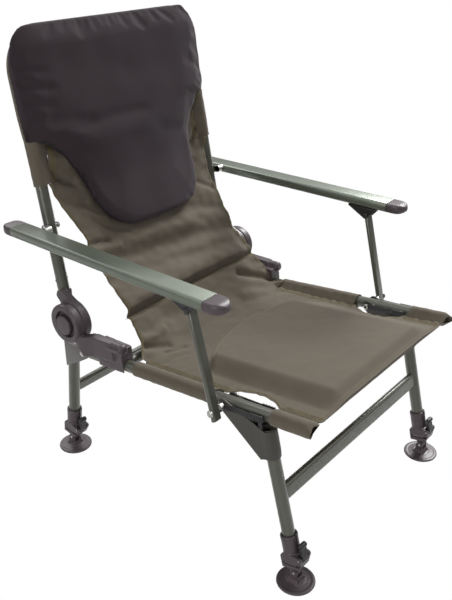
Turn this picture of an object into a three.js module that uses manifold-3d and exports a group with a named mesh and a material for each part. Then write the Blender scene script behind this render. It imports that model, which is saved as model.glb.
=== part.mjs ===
// Carp fishing chair: a folding seat frame with two folding leg frames on adjustable mud
// feet, a reclining back, armrests on a four-bar linkage and a one-piece fabric cover.
// Millimetres, +X to the sitter's left, +Y to the back, +Z up, standing on Z = 0.

import * as THREE from 'three';
import { mergeVertices } from 'three/addons/utils/BufferGeometryUtils.js';
import Module from 'manifold-3d';

const wasm = await Module();
wasm.setup();

// Driving sizes of the whole chair
const halfGauge = 250; // middle plane to the centre line of rails, legs and back tubes
const frontPivot = { y: -168, z: 336.8 }; // bolt shared by rail, front leg and arm bar
const railSlopeDeg = 7.06; // rails rise towards the front
const railFrontReach = 176; // along the rail from the front pivot to its front end
const railRearOver = 35.5; // the rail's rear end behind the recline axis
const reclineReach = 408.5; // along the rail to the recline axis
const rearPivotAhead = 8.5; // the rear leg rivet in front of the recline axis
const reclineLift = 77; // square to the rail, up to the recline axis
const leanDeg = 11.03; // back tubes behind the vertical
const backSetback = 30; // back tubes behind the recline axis
const backHeight = 568; // recline axis to the middle of the top bow, along the tubes
const backTaper = 10; // each back tube leans in by this much at the top
const bowRadius = 70;
const armPinReach = 197.3; // recline axis to the rear armrest pin, along the back tube
const armPinSetback = 12.9; // the same pin behind the recline axis, square to the tube
const armTiltDeg = 0.8; // armrests fall towards the back
const armOut = 47; // rail's centre line out to the middle of an armrest
const linkOut = 40; // and to the middle of an arm bar
// Leg tubes: foot pivot and tube end, both from the pivot on the rail
const frontStance = { foot: -166, top: -89, under: 16.8 };
const rearStance = { foot: 77.03, top: 46.53, under: 21.64 };

// Stock and general clearances
const tube = { radius: 12.5, wall: 1.5 };
const seatGap = 0.3; // between pieces that touch
const slideGap = 0.4; // between a slide and its bore, beside the faceting
const overrun = 5; // how far a cutter runs past the face it cuts
const bolt = { radius: 4, headRadius: 7, headHeight: 4, nutRadius: 6.5, nutHeight: 5 };
const round = {
  tubeSides: 12,
  boltSides: 8,
  blobSides: 12,
  smallSides: 6,
  discSides: 20,
  clothSides: 10,
  bendSteps: 4,
};
const smallRadius = 4; // outlines round off with fewer steps below this

const degrees = Math.PI / 180;

// Finishes
const finishes = {
  frame_paint: { color: 0x59604f, roughness: 0.42, metalness: 0.35 },
  arm_aluminium: { color: 0x667062, roughness: 0.33, metalness: 0.75 },
  dark_plastic: { color: 0x3a3434, roughness: 0.5, metalness: 0.0 },
  black_plastic: { color: 0x1c1b1c, roughness: 0.45, metalness: 0.0 },
  zinc_steel: { color: 0xb9babb, roughness: 0.3, metalness: 0.9 },
  bracket_steel: { color: 0x77797a, roughness: 0.4, metalness: 0.6 },
  olive_fabric: { color: 0x4a4336, roughness: 0.9, metalness: 0.0 },
  pad_fabric: { color: 0x262127, roughness: 0.95, metalness: 0.0 },
};

function material(finish) {
  return new THREE.MeshStandardMaterial(finishes[finish]);
}

// Solids: three.js geometry turned into manifold bodies that can be joined and cut

function solid(geometry) {
  const bare = geometry.index ? geometry.toNonIndexed() : geometry.clone();
  bare.deleteAttribute('normal');
  bare.deleteAttribute('uv');
  const merged = mergeVertices(bare);
  return new wasm.Manifold(new wasm.Mesh({
    numProp: 3,
    vertProperties: new Float32Array(merged.attributes.position.array),
    triVerts: new Uint32Array(merged.index.array),
  }));
}

function node(name, body, finish) {
  const found = body.getMesh();
  const geometry = new THREE.BufferGeometry();
  geometry.setAttribute('position', new THREE.BufferAttribute(found.vertProperties, 3));
  geometry.setIndex(new THREE.BufferAttribute(found.triVerts, 1));
  geometry.computeVertexNormals();
  const mesh = new THREE.Mesh(geometry, material(finish));
  mesh.name = name;
  return mesh;
}

function join(bodies) {
  return bodies.reduce((sum, body) => sum.add(body));
}

// A round bar between two points, tapered when it is given a second radius
function bar(from, to, radius, sides = round.tubeSides, endRadius = radius) {
  const a = new THREE.Vector3(...from);
  const b = new THREE.Vector3(...to);
  const along = b.clone().sub(a);
  const geometry = new THREE.CylinderGeometry(endRadius, radius, along.length(), sides);
  const turn = new THREE.Quaternion();
  turn.setFromUnitVectors(new THREE.Vector3(0, 1, 0), along.clone().normalize());
  geometry.applyQuaternion(turn);
  geometry.translate(...a.add(b).multiplyScalar(1 / 2).toArray());
  return solid(geometry);
}

// A hollow tube between two points, open at both ends
function pipe(from, to, radius, wall, sides = round.tubeSides) {
  const a = new THREE.Vector3(...from);
  const b = new THREE.Vector3(...to);
  const past = b.clone().sub(a).normalize().multiplyScalar(overrun);
  const bore = bar(a.clone().sub(past).toArray(), b.clone().add(past).toArray(), radius - wall, sides);
  return bar(from, to, radius, sides).subtract(bore);
}

function box(low, high) {
  const size = high.map((value, axis) => value - low[axis]);
  const geometry = new THREE.BoxGeometry(...size);
  geometry.translate(...low.map((value, axis) => value + size[axis] / 2));
  return solid(geometry);
}

// The tight outline round a set of circles, each [y, z, radius]
function outlineRound(circles, sides = round.blobSides) {
  const points = [];
  for (const [y, z, radius] of circles) {
    const full = radius > smallRadius ? sides : round.smallSides;
    const count = radius > 0 ? full : 1;
    for (let step = 0; step < count; step += 1) {
      const angle = (2 * Math.PI * step) / count;
      points.push([y + radius * Math.cos(angle), z + radius * Math.sin(angle)]);
    }
  }
  points.sort((p, q) => p[0] - q[0] || p[1] - q[1]);
  const half = (list) => {
    const chain = [];
    for (const p of list) {
      while (chain.length > 1) {
        const [a, b] = chain.slice(-2);
        if ((b[0] - a[0]) * (p[1] - a[1]) - (b[1] - a[1]) * (p[0] - a[0]) > 0) break;
        chain.pop();
      }
      chain.push(p);
    }
    chain.pop();
    return chain;
  };
  return [...half(points), ...half([...points].reverse())];
}

// An outline in Y and Z given thickness along X
function plate(outline, fromX, toX) {
  const shape = new THREE.Shape(outline.map(([y, z]) => new THREE.Vector2(y, z)));
  const geometry = new THREE.ExtrudeGeometry(shape, { depth: toX - fromX, bevelEnabled: false });
  const turn = new THREE.Matrix4().makeBasis(
    new THREE.Vector3(0, 1, 0),
    new THREE.Vector3(0, 0, 1),
    new THREE.Vector3(1, 0, 0),
  );
  geometry.applyMatrix4(turn);
  geometry.translate(fromX, 0, 0);
  return solid(geometry);
}

// A closed sheet or cushion between two surfaces over the same grid
function quilted(front, back, across, along) {
  const positions = [];
  const index = [];
  const row = along + 1;
  const sheet = (across + 1) * row;
  for (const surface of [front, back]) {
    for (let i = 0; i <= across; i += 1) {
      for (let j = 0; j <= along; j += 1) positions.push(...surface(i / across, j / along));
    }
  }
  const quad = (a, b, c, d) => index.push(a, b, c, a, c, d);
  for (let i = 0; i < across; i += 1) {
    for (let j = 0; j < along; j += 1) {
      const a = i * row + j;
      quad(a, a + row, a + row + 1, a + 1);
      quad(sheet + a, sheet + a + 1, sheet + a + row + 1, sheet + a + row);
    }
    const low = i * row;
    const high = i * row + along;
    quad(low, sheet + low, sheet + low + row, low + row);
    quad(high, high + row, sheet + high + row, sheet + high);
  }
  for (let j = 0; j < along; j += 1) {
    const last = across * row + j;
    quad(j, j + 1, sheet + j + 1, sheet + j);
    quad(last, sheet + last, sheet + last + 1, last + 1);
  }
  const geometry = new THREE.BufferGeometry();
  geometry.setAttribute('position', new THREE.Float32BufferAttribute(positions, 3));
  geometry.setIndex(index);
  return solid(geometry);
}

// Radius of a coarse cutter that still clears a round piece
function around(radius, count) {
  return radius / Math.cos(Math.PI / count);
}

// A hole that a bolt or pin can turn in
function boltHole(from, to, radius = bolt.radius) {
  return bar(from, to, around(radius + seatGap, round.boltSides), round.boltSides);
}

function smooth(value) {
  const t = Math.min(1, Math.max(0, value));
  return t * t * (3 - 2 * t);
}

// Turns a [y, z] pair about X
function turned([y, z], deg) {
  const c = Math.cos(deg * degrees);
  const s = Math.sin(deg * degrees);
  return [y * c - z * s, y * s + z * c];
}

function group(y, z, deg) {
  const made = new THREE.Group();
  made.position.set(0, y, z);
  made.rotation.x = deg * degrees;
  return made;
}

const sides = [['right', -1], ['left', 1]];

// Places that several pieces share, in the chair's own Y and Z
const onRail = (along, lift) => {
  const [y, z] = turned([along, lift], -railSlopeDeg);
  return { y: frontPivot.y + y, z: frontPivot.z + z };
};
const recline = onRail(reclineReach, reclineLift);
const rearPivotReach = reclineReach - rearPivotAhead;
const railRearReach = reclineReach + railRearOver;
const armCentre = halfGauge + armOut;
const linkCentre = halfGauge + linkOut;
const rearPivot = onRail(rearPivotReach, 0);
function stand(pivot, stance) {
  return { y: pivot.y + stance.foot, topY: pivot.y + stance.top, topZ: pivot.z - stance.under };
}
const frontFoot = stand(frontPivot, frontStance);
const rearFoot = stand(rearPivot, rearStance);
const rearPinOffset = turned([armPinSetback, armPinReach], -leanDeg);
const rearArmPin = { y: recline.y + rearPinOffset[0], z: recline.z + rearPinOffset[1] };
const frontArmPin = { y: frontPivot.y + rearPinOffset[0], z: frontPivot.z + rearPinOffset[1] };
const armSpan = turned([rearArmPin.y - frontArmPin.y, rearArmPin.z - frontArmPin.z], armTiltDeg);
const linkLength = Math.hypot(...rearPinOffset);
const linkLeanDeg = Math.atan2(rearPinOffset[0], rearPinOffset[1]) / degrees;

const chair = new THREE.Group();

// Seat frame: rails along local Y through the front pivot at local Y = Z = 0

// Lengthwise places of the moulded arm are taken forwards from the recline axis
const arm = {
  front: 147.5, // front end of the ridge
  skirtFront: 140.5,
  skirtRear: 64.5,
  skirtDrop: 10.5, // skirt edge below the rail's centre line
  ridgeRadius: 12,
  ridgeOut: 10, // ridge centre line out from the rail's
  ridgeFrontLift: 40, // ridge centre line over the rail's centre line
  ridgeRearLift: 45,
  ridgeRear: 46.5,
  halfWidth: 15.5,
  neckFront: 78.5,
  neckRear: 44.5,
  neckLow: 15,
  neckOut: 36,
  screwReach: 89.5,
  screwLift: 31,
  screwRadius: 5,
  screwStand: 1.5,
};
const crossTube = { behindSkirt: 13, radius: 11, wall: 1.5 };
const pivotSpacer = { radius: 8 };
const linkBar = { width: 22, depth: 10, wall: 1.6, toe: 17, head: 10 };
const cheek = { gap: 0.8, wall: 3 };
// The two discs of the recline hinge, out from the rail's centre line
const drum = {
  radius: 43,
  innerFrom: -1,
  innerTo: 19.5,
  outerFrom: 20,
  outerTo: 40,
  recess: 7,
  recessRadius: 29,
  recessShift: 10, // recess centre in front of the hinge's
};
const hingeBolt = { headRadius: 9, headHeight: 2.5, end: 30 };

function seatRail(side) {
  const x = side * halfGauge;
  const body = pipe([x, -railFrontReach, 0], [x, railRearReach, 0], tube.radius, tube.wall);
  const reach = tube.radius + overrun;
  const holes = [0, rearPivotReach].map((y) => boltHole(
    [x - reach, y, 0], [x + reach, y, 0]));
  return body.subtract(join(holes));
}

function seatCrossTube() {
  const half = halfGauge - arm.halfWidth - seatGap;
  const y = reclineReach - arm.skirtFront + crossTube.behindSkirt;
  return pipe([-half, y, 0], [half, y, 0], crossTube.radius, crossTube.wall);
}

// Two places along X on one side of the chair, in rising order
function across(side, from, to) {
  const ends = [side * (halfGauge + from), side * (halfGauge + to)];
  return ends.sort((a, b) => a - b);
}

// The moulded arm that saddles the rail and carries the fixed half of the recline hinge
function hingeLowerArm(side) {
  const x = side * halfGauge;
  const at = (ahead) => reclineReach - ahead;
  const ridge = bar(
    [x + side * arm.ridgeOut, at(arm.front), arm.ridgeFrontLift],
    [x + side * arm.ridgeOut, at(arm.ridgeRear), arm.ridgeRearLift],
    arm.ridgeRadius,
  );
  const skirt = plate([
    [at(arm.skirtFront), -arm.skirtDrop],
    [at(arm.skirtRear), -arm.skirtDrop],
    [at(arm.skirtRear), arm.ridgeRearLift],
    [at(arm.skirtFront), arm.ridgeFrontLift],
  ], ...across(side, -arm.halfWidth, arm.halfWidth));
  const block = [
    [at(arm.neckFront), arm.neckLow, 0],
    [at(arm.neckFront), arm.ridgeRearLift, 0],
    [at(arm.neckRear), arm.neckLow + arm.ridgeRadius, 0],
    [at(arm.neckRear), arm.ridgeRearLift + arm.ridgeRadius / 2, 0],
  ];
  const bridge = plate(outlineRound(block), ...across(side, -arm.halfWidth, arm.neckOut));
  const neck = plate(
    outlineRound([...block, [reclineReach, reclineLift, drum.radius / 2]]),
    ...across(side, drum.outerFrom, arm.neckOut),
  );
  const reachOut = (out, y = reclineReach) => [x + side * out, y, reclineLift];
  const disc = bar(reachOut(drum.outerFrom), reachOut(drum.outerTo), drum.radius, round.discSides);
  const screw = bar(
    [x + side * (arm.halfWidth - arm.screwStand), at(arm.screwReach), arm.screwLift],
    [x + side * (arm.halfWidth + arm.screwStand), at(arm.screwReach), arm.screwLift],
    arm.screwRadius, round.boltSides,
  );
  const rail = bar([x, -railFrontReach, 0], [x, railRearReach, 0], tube.radius + seatGap);
  const mouth = box(
    [x - tube.radius - seatGap, at(arm.skirtFront) - overrun, -arm.skirtDrop - overrun],
    [x + tube.radius + seatGap, at(arm.skirtRear) + overrun, 0],
  );
  const recessAt = reclineReach - drum.recessShift;
  const recess = bar(
    reachOut(drum.outerTo - drum.recess, recessAt), reachOut(drum.outerTo + overrun, recessAt),
    drum.recessRadius, round.discSides,
  );
  const bore = boltHole(
    reachOut(drum.outerFrom - overrun), reachOut(hingeBolt.end + seatGap));
  return join([ridge, skirt, bridge, neck, disc, screw]).subtract(join([rail, mouth, recess, bore]));
}

function hingeBoltBody(side) {
  const at = (out) => [side * (halfGauge + out), reclineReach, reclineLift];
  const under = drum.innerFrom - seatGap;
  const shank = bar(at(under), at(hingeBolt.end), bolt.radius, round.boltSides);
  const head = bar(at(under - hingeBolt.headHeight), at(under), hingeBolt.headRadius, round.boltSides);
  return shank.add(head);
}

// The long bolt through rail, leg bracket, spacer and arm bar
function frontPivotBolt(side) {
  const x = side * halfGauge;
  const cheekOut = tube.radius + cheek.gap + cheek.wall;
  const linkIn = linkCentre - linkBar.width / 2 - halfGauge;
  const linkOut = linkCentre + linkBar.width / 2 - halfGauge;
  const clipOut = cheekOut + seatGap + clip.wall;
  const start = x - side * (clipOut + seatGap + bolt.nutHeight);
  const end = x + side * (linkOut + seatGap + bolt.headHeight);
  const parts = [
    bar([start, 0, 0], [end, 0, 0], bolt.radius, round.boltSides),
    bar([start, 0, 0], [start + side * bolt.nutHeight, 0, 0], bolt.nutRadius, round.smallSides),
    bar([end - side * bolt.headHeight, 0, 0], [end, 0, 0], bolt.headRadius, round.boltSides),
    bar(
      [x + side * (clipOut + seatGap), 0, 0], [x + side * (linkIn - seatGap), 0, 0],
      pivotSpacer.radius, round.boltSides,
    ),
  ];
  return join(parts);
}

// Fabric cover: one cloth in three stretches, with sleeves on the rails and back tubes
const cloth = {
  sleeveWall: 2.4,
  web: 4, // two layers and the binding
  hemReach: 183, // front hem from the front pivot
  seatRear: 166.5, // rear edge of the rail sleeves in front of the recline axis
  cutFront: 99, // hand gap over the leg clip, from the front pivot forwards
  cutRear: 25, // and backwards
  cutDepth: 42, // in from the rail's centre line
};
const seatPanel = {
  rise: 9, // crown of the padded front panel
  halfWidth: 188,
  archShare: 1.06, // half width of its arched seam, as a share of the panel's
  rear: 132, // top of its arched seam from the front pivot back
  roll: 46, // how far its edge rolls down
  sag: 7,
};

const seatGridCount = { across: 14, along: 10 };

function seatPanelRise(x, y) {
  const reach = seatPanel.halfWidth * seatPanel.archShare;
  const arch = seatPanel.rear * Math.sqrt(Math.max(0, 1 - (x / reach) ** 2));
  const inSide = smooth((seatPanel.halfWidth - Math.abs(x)) / seatPanel.roll);
  const inRear = smooth((arch - y) / seatPanel.roll);
  return seatPanel.rise * inSide * inRear;
}

function seatFabric() {
  const half = halfGauge - tube.radius / 2;
  const rear = reclineReach - cloth.seatRear;
  const length = rear + cloth.hemReach;
  const place = (u, v) => {
    const x = (2 * u - 1) * half;
    const y = -cloth.hemReach + length * v;
    const across = 1 - (x / half) ** 2;
    const sag = seatPanel.sag * across * Math.sin(Math.PI * v);
    return { x, y, sag };
  };
  const top = (u, v) => {
    const { x, y, sag } = place(u, v);
    return [x, y, cloth.web / 2 - sag + seatPanelRise(x, y)];
  };
  const under = (u, v) => {
    const { x, y, sag } = place(u, v);
    return [x, y, -cloth.web / 2 - sag];
  };
  const web = quilted(top, under, seatGridCount.across, seatGridCount.along);
  const pieces = [web];
  const cuts = [];
  for (const [, side] of sides) {
    const x = side * halfGauge;
    pieces.push(bar(
      [x, -cloth.hemReach, 0], [x, rear, 0], tube.radius + seatGap + cloth.sleeveWall,
    ));
    cuts.push(bar(
      [x, -cloth.hemReach - overrun, 0], [x, rear + overrun, 0], tube.radius + seatGap,
    ));
    cuts.push(handGap(side));
  }
  return join(pieces).subtract(join(cuts));
}

// The curved cut-out beside the rail where the leg clip is reached
function handGap(side) {
  const middle = (cloth.cutRear - cloth.cutFront) / 2;
  const half = (cloth.cutRear + cloth.cutFront) / 2;
  const shape = new THREE.Shape();
  const reach = cloth.cutDepth;
  const outer = tube.radius + cloth.sleeveWall + overrun;
  shape.moveTo(outer, middle - half);
  shape.lineTo(outer, middle + half);
  shape.lineTo(-tube.radius / 2, middle + half);
  shape.absellipse(
    -tube.radius / 2, middle, reach - tube.radius / 2, half, Math.PI / 2, -Math.PI / 2, false, 0,
  );
  const depth = 2 * (tube.radius + cloth.sleeveWall + overrun);
  const geometry = new THREE.ExtrudeGeometry(shape, {
    depth, bevelEnabled: false, curveSegments: round.boltSides,
  });
  geometry.translate(0, 0, -depth / 2);
  if (side < 0) geometry.rotateY(Math.PI);
  geometry.translate(side * halfGauge, 0, 0);
  return solid(geometry);
}

// Legs: each in its own frame, foot pivot at the origin and local Z up along the leg

const foot = {
  pivotHeight: 26,
  discRadius: 37.5,
  rim: 3.5,
  dome: 9,
  hubRadius: 15,
  hubTop: 15,
  earWall: 5,
  earRadius: 8.5,
  tongue: 11,
  pinRadius: 3,
};
const lock = {
  collarTop: 85,
  collarRadius: 16.5,
  tubeEnd: 36, // lower end of the outer leg tube
  blockTop: 47,
  blockLow: 14,
  blockWidth: 34,
  blockDepth: 38,
  blockBack: 17,
  slotHeight: 5,
  slotAt: 27,
};
const lever = {
  pivotAt: 40,
  pivotOut: 25,
  radius: 5.5,
  width: 20,
  tipAt: 68,
  tipOut: 27,
  tipRadius: 6.5,
  wall: 2.5,
  pinRadius: 1.8,
};
const extension = {
  radius: 10.2,
  top: 200,
  plugLow: 9.3,
  stemLow: 11,
  tongueTop: 12,
  knuckleRadius: 7.5,
};
const cross = {
  frontAt: 167, rearAt: 145, frontHeight: 34, rearHeight: 28, depth: 15, wall: 1.5,
};
const clip = {
  wall: 2.6,
  height: 9,
  reach: 88,
  bridge: 5.5,
  gripLength: 20,
  gripHeight: 13,
  gripWall: 4.5,
  ribCount: 3,
};
const gusset = {
  socketRadius: 17,
  socketTop: 303,
  socketBackLow: 245,
  socketFrontLow: 257,
  bossRadius: 12.5,
  webWall: 3,
};
const strap = { gap: 0.5, wall: 1.8 };

function legLine(place) {
  const y = place.topY - place.y;
  const z = place.topZ - foot.pivotHeight;
  return { length: Math.hypot(y, z), deg: -Math.atan2(y, z) / degrees };
}
const frontLeg = legLine(frontFoot);
const rearLeg = legLine(rearFoot);

// A point of the chair seen from a leg's frame, as [y, z]
function fromLeg(place, leg, point) {
  return turned([point.y - place.y, point.z - foot.pivotHeight], -leg.deg);
}

function legTube(side, length) {
  const x = side * halfGauge;
  return pipe([x, 0, lock.tubeEnd], [x, 0, length], tube.radius, tube.wall);
}

function crossbar(at, height) {
  const half = halfGauge + tube.radius / 2;
  const ends = (height - cross.depth) / 2;
  const oval = (inset) => outlineRound([
    [0, at - ends, cross.depth / 2 - inset], [0, at + ends, cross.depth / 2 - inset],
  ]);
  const outer = plate(oval(0), -half, half);
  const bore = plate(oval(cross.wall), -half - overrun, half + overrun);
  const legs = sides.map(([, side]) => bar(
    [side * halfGauge, 0, at - height], [side * halfGauge, 0, at + height], tube.radius + seatGap,
  ));
  const past = tube.radius * 2;
  const trim = sides.map(([, side]) => {
    const from = side * halfGauge;
    const to = side * (halfGauge + past);
    return box(
      [Math.min(from, to), -cross.depth, at - height],
      [Math.max(from, to), cross.depth, at + height],
    );
  });
  return outer.subtract(bore).subtract(join([...legs, ...trim]));
}

// Collar and clamp block at the foot of a leg tube; the lever closes it
function legLock(side) {
  const x = side * halfGauge;
  const half = lock.blockWidth / 2;
  const collar = bar([x, 0, lock.blockLow], [x, 0, lock.collarTop], lock.collarRadius);
  const block = plate(outlineRound([
    [-lever.pivotOut, lever.pivotAt, lever.radius],
    [-lock.blockDepth / 2, lock.blockLow + lever.radius, lever.radius / 2],
    [lock.blockBack - lever.radius / 2, lock.blockLow + lever.radius, lever.radius / 2],
    [lock.blockBack - lever.radius / 2, lock.blockTop - lever.radius, lever.radius / 2],
    [0, lock.blockTop, lever.radius / 2],
  ]), x - half, x + half);
  const tubeBore = bar(
    [x, 0, lock.tubeEnd - seatGap], [x, 0, lock.collarTop + overrun], tube.radius + seatGap,
  );
  const slideBore = bar(
    [x, 0, lock.blockLow - overrun], [x, 0, lock.tubeEnd + overrun], extension.radius + slideGap,
  );
  const leverRoom = plate(outlineRound([
    [-lever.pivotOut, lever.pivotAt, lever.radius + slideGap],
    [-lever.pivotOut - lever.radius * 2, lever.pivotAt, lever.radius + slideGap],
    [-lever.tipOut, lever.tipAt, lever.radius + slideGap],
  ]), x - lever.width / 2 - slideGap, x + lever.width / 2 + slideGap);
  const pinHole = boltHole(
    [x - half - overrun, -lever.pivotOut, lever.pivotAt],
    [x + half + overrun, -lever.pivotOut, lever.pivotAt],
    lever.pinRadius,
  );
  const slot = box(
    [x - half - overrun, -lock.blockDepth, lock.slotAt - lock.slotHeight / 2],
    [x - half + lock.slotHeight, lock.blockBack - lock.slotHeight, lock.slotAt + lock.slotHeight / 2],
  );
  return collar.add(block).subtract(join([tubeBore, slideBore, leverRoom, pinHole, slot]));
}

// The cam lever, with its own pivot pin
function lockLever(side) {
  const x = side * halfGauge;
  const half = lever.width / 2;
  const hand = plate(outlineRound([
    [-lever.pivotOut, lever.pivotAt, lever.radius],
    [-lever.pivotOut - lever.radius + lever.wall, lever.pivotAt, lever.wall],
    [-lever.tipOut, lever.tipAt, lever.wall],
  ]), x - half, x + half);
  const tip = bar(
    [x - half, -lever.tipOut, lever.tipAt], [x + half, -lever.tipOut, lever.tipAt], lever.tipRadius,
    round.boltSides,
  );
  const pin = bar(
    [x - lock.blockWidth / 2, -lever.pivotOut, lever.pivotAt],
    [x + lock.blockWidth / 2, -lever.pivotOut, lever.pivotAt],
    lever.pinRadius, round.boltSides,
  );
  return join([hand, tip, pin]);
}

// The inner tube that slides out of the leg, with the tongue that the foot turns on
function legExtension(side) {
  const x = side * halfGauge;
  const half = foot.tongue / 2;
  const stem = pipe(
    [x, 0, extension.stemLow], [x, 0, extension.top], extension.radius, tube.wall,
  );
  const plug = bar(
    [x, 0, extension.plugLow], [x, 0, lock.blockLow + overrun], extension.radius - seatGap,
  );
  const tongue = plate(outlineRound([
    [0, 0, extension.knuckleRadius], [0, extension.tongueTop, extension.knuckleRadius],
  ]), x - half, x + half);
  const hole = boltHole([x - half - overrun, 0, 0], [x + half + overrun, 0, 0], foot.pinRadius);
  return join([stem, plug, tongue]).subtract(hole);
}

// A mud foot: domed disc, two ears and the pivot pin, flat below
function footDisc(side) {
  const x = side * halfGauge;
  const base = -foot.pivotHeight;
  const profile = [
    [0, 0], [foot.discRadius, 0], [foot.discRadius, foot.rim], [foot.hubRadius + foot.rim, foot.dome],
    [foot.hubRadius, foot.hubTop], [0, foot.hubTop],
  ].map(([r, z]) => new THREE.Vector2(r, z));
  const lathe = new THREE.LatheGeometry(profile, round.discSides);
  lathe.rotateX(Math.PI / 2);
  lathe.translate(x, 0, base);
  const inner = foot.tongue / 2 + slideGap;
  const ears = sides.map(([, ear]) => {
    const a = x + ear * inner;
    const b = x + ear * (inner + foot.earWall);
    return plate(outlineRound([
      [0, 0, foot.earRadius],
      [-foot.earRadius + lever.wall, base + foot.hubTop - lever.wall, lever.wall],
      [foot.earRadius - lever.wall, base + foot.hubTop - lever.wall, lever.wall],
    ]), Math.min(a, b), Math.max(a, b));
  });
  const pin = bar(
    [x - inner - foot.earWall, 0, 0], [x + inner + foot.earWall, 0, 0], foot.pinRadius, round.boltSides,
  );
  return join([solid(lathe), ...ears, pin]);
}

// The trough that holds the front leg and turns on the front pivot
function frontLegBracket(side) {
  const x = side * halfGauge;
  const pivot = fromLeg(frontFoot, frontLeg, frontPivot);
  const inside = tube.radius + cheek.gap;
  const outside = inside + cheek.wall;
  const outline = outlineRound([
    [...pivot, gusset.bossRadius],
    [-gusset.socketRadius, gusset.socketTop, 0],
    [-gusset.socketRadius, gusset.socketFrontLow, 0],
    [gusset.socketRadius, gusset.socketBackLow, 0],
  ]);
  const whole = plate(outline, x - outside, x + outside);
  const socket = bar(
    [x, 0, gusset.socketBackLow], [x, 0, gusset.socketTop], gusset.socketRadius,
  );
  const wall = gusset.webWall;
  const room = plate(outlineRound([
    [...pivot, gusset.bossRadius + wall],
    [-gusset.socketRadius, gusset.socketTop + wall, wall],
    [gusset.socketRadius + wall, gusset.socketTop, wall],
    [gusset.socketRadius + 2 * wall, gusset.socketBackLow + 6 * wall, wall],
  ]), x - inside, x + inside);
  const bore = bar([x, 0, 0], [x, 0, gusset.socketTop + overrun * 2], tube.radius + seatGap);
  const hole = boltHole(
    [x - outside - overrun, ...pivot], [x + outside + overrun, ...pivot]);
  return whole.subtract(room).add(socket).subtract(bore).subtract(hole);
}

// The sprung clip beside the rail that holds the front legs open
function frontLegClip(side) {
  const x = side * halfGauge;
  const pivot = fromLeg(frontFoot, frontLeg, frontPivot);
  const railTurn = -railSlopeDeg - frontLeg.deg;
  const inside = tube.radius + cheek.gap + cheek.wall + seatGap;
  const at = (along, lift) => {
    const [y, z] = turned([along, lift], railTurn);
    return [pivot[0] + y, pivot[1] + z];
  };
  const half = clip.height / 2;
  const pieces = [];
  for (const [, cheekSide] of sides) {
    const a = x + cheekSide * inside;
    const span = (from, to) => [Math.min(from, to), Math.max(from, to)];
    const finger = outlineRound([[...pivot, half + clip.wall], [...at(-clip.reach, 0), half]]);
    pieces.push(plate(finger, ...span(a, a + cheekSide * clip.wall)));
    for (let rib = 0; rib < clip.ribCount; rib += 1) {
      const pitch = clip.gripLength / (clip.ribCount - 1);
      const along = -clip.reach + rib * pitch;
      const corners = [[-1, -1], [1, -1], [1, 1], [-1, 1]].map(([across, up]) => at(
        along + (across * pitch) / 4, (up * clip.gripHeight) / 2,
      ));
      pieces.push(plate(corners, ...span(a, a + cheekSide * clip.gripWall)));
    }
  }
  const low = -tube.radius - cheek.gap - clip.wall;
  const bridge = plate(outlineRound([
    [...at(-clip.reach, low), clip.wall / 2],
    [...at(-clip.reach + clip.bridge, low), clip.wall / 2],
  ]), x - inside - clip.wall, x + inside + clip.wall);
  for (const [, cheekSide] of sides) {
    const a = x + cheekSide * inside;
    const b = a + cheekSide * clip.wall;
    pieces.push(plate(outlineRound([
      [...at(-clip.reach, low), clip.wall / 2],
      [...at(-clip.reach + clip.bridge, low), clip.wall / 2],
      [...at(-clip.reach + clip.bridge, 0), clip.wall / 2],
      [...at(-clip.reach, 0), clip.wall / 2],
    ]), Math.min(a, b), Math.max(a, b)));
  }
  const hole = boltHole(
    [x - inside - overrun, ...pivot], [x + inside + overrun, ...pivot]);
  return join([...pieces, bridge]).subtract(hole);
}

// The folded steel strap that joins a rear leg to its rail, with its rivet
const strapShares = [
  [-0.3, 0.03], [-0.06, 0.2], [0.14, 0.2], [1, 0.06], [0.87, -1.01], [0.12, -0.42], [-0.3, -0.05],
];
function rearLegBracket(side) {
  const x = side * halfGauge;
  const pivot = fromLeg(rearFoot, rearLeg, rearPivot);
  const inside = tube.radius + strap.gap;
  const outside = inside + strap.wall;
  const reach = outside - pivot[0];
  const outline = strapShares.map(([along, lift]) => [
    pivot[0] + along * reach, pivot[1] + lift * reach,
  ]);
  const whole = plate(outline, x - outside, x + outside);
  const room = box(
    [x - inside, pivot[0] - reach, pivot[1] - 2 * reach],
    [x + inside, inside, pivot[1] + reach],
  );
  const rivetReach = outside + strap.wall;
  const rivet = join([
    bar([x - rivetReach, ...pivot], [x + rivetReach, ...pivot], bolt.radius, round.boltSides),
    bar([x - rivetReach, ...pivot], [x - outside, ...pivot], bolt.headRadius, round.boltSides),
    bar([x + outside, ...pivot], [x + rivetReach, ...pivot], bolt.headRadius, round.boltSides),
  ]);
  return whole.subtract(room).add(rivet);
}

// Back: local Z up along the tubes, local Y to the back, recline axis at the origin

const socket = {
  low: 20,
  top: 60,
  lowRadius: 12,
  topRadius: 16,
  finTop: 66, // the fin runs from here down the front of the socket to the disc
  finLow: 33,
  finFront: -22,
  finFrom: 2,
  finTo: 16,
  finEdge: 3,
};
const backTube = { low: 36, boltAt: 84, boltStand: 2 };
const cover = {
  low: 284, // lower end of the sleeves
  wall: 2.4,
  padWall: 6, // the same over the tubes and the bow where the cover is padded
  web: 4,
  webBack: 3, // web's back face in front of the tube's centre plane
  flareHalf: 205, // half width of the web where it leaves the tubes
  blackLow: 392, // where the padded black head cover starts on the tubes
};
const headPad = {
  tongueLow: 157, // lowest point of the padded tongue
  rise: 20,
  roll: 34,
  edge: 7,
};
// Half width of the black panel as a share of the gauge, at shares of its height
const tongueShares = [
  [0, 0], [0.012, 0.2], [0.035, 0.34], [0.09, 0.46], [0.17, 0.56], [0.26, 0.635], [0.38, 0.69],
  [0.46, 0.76], [0.52, 0.87], [0.565, 0.97], [0.6, 1],
];

// Centre line of a back tube at a height above the recline axis
function backTubeX(height) {
  return halfGauge - (backTaper * height) / backHeight;
}

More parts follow.
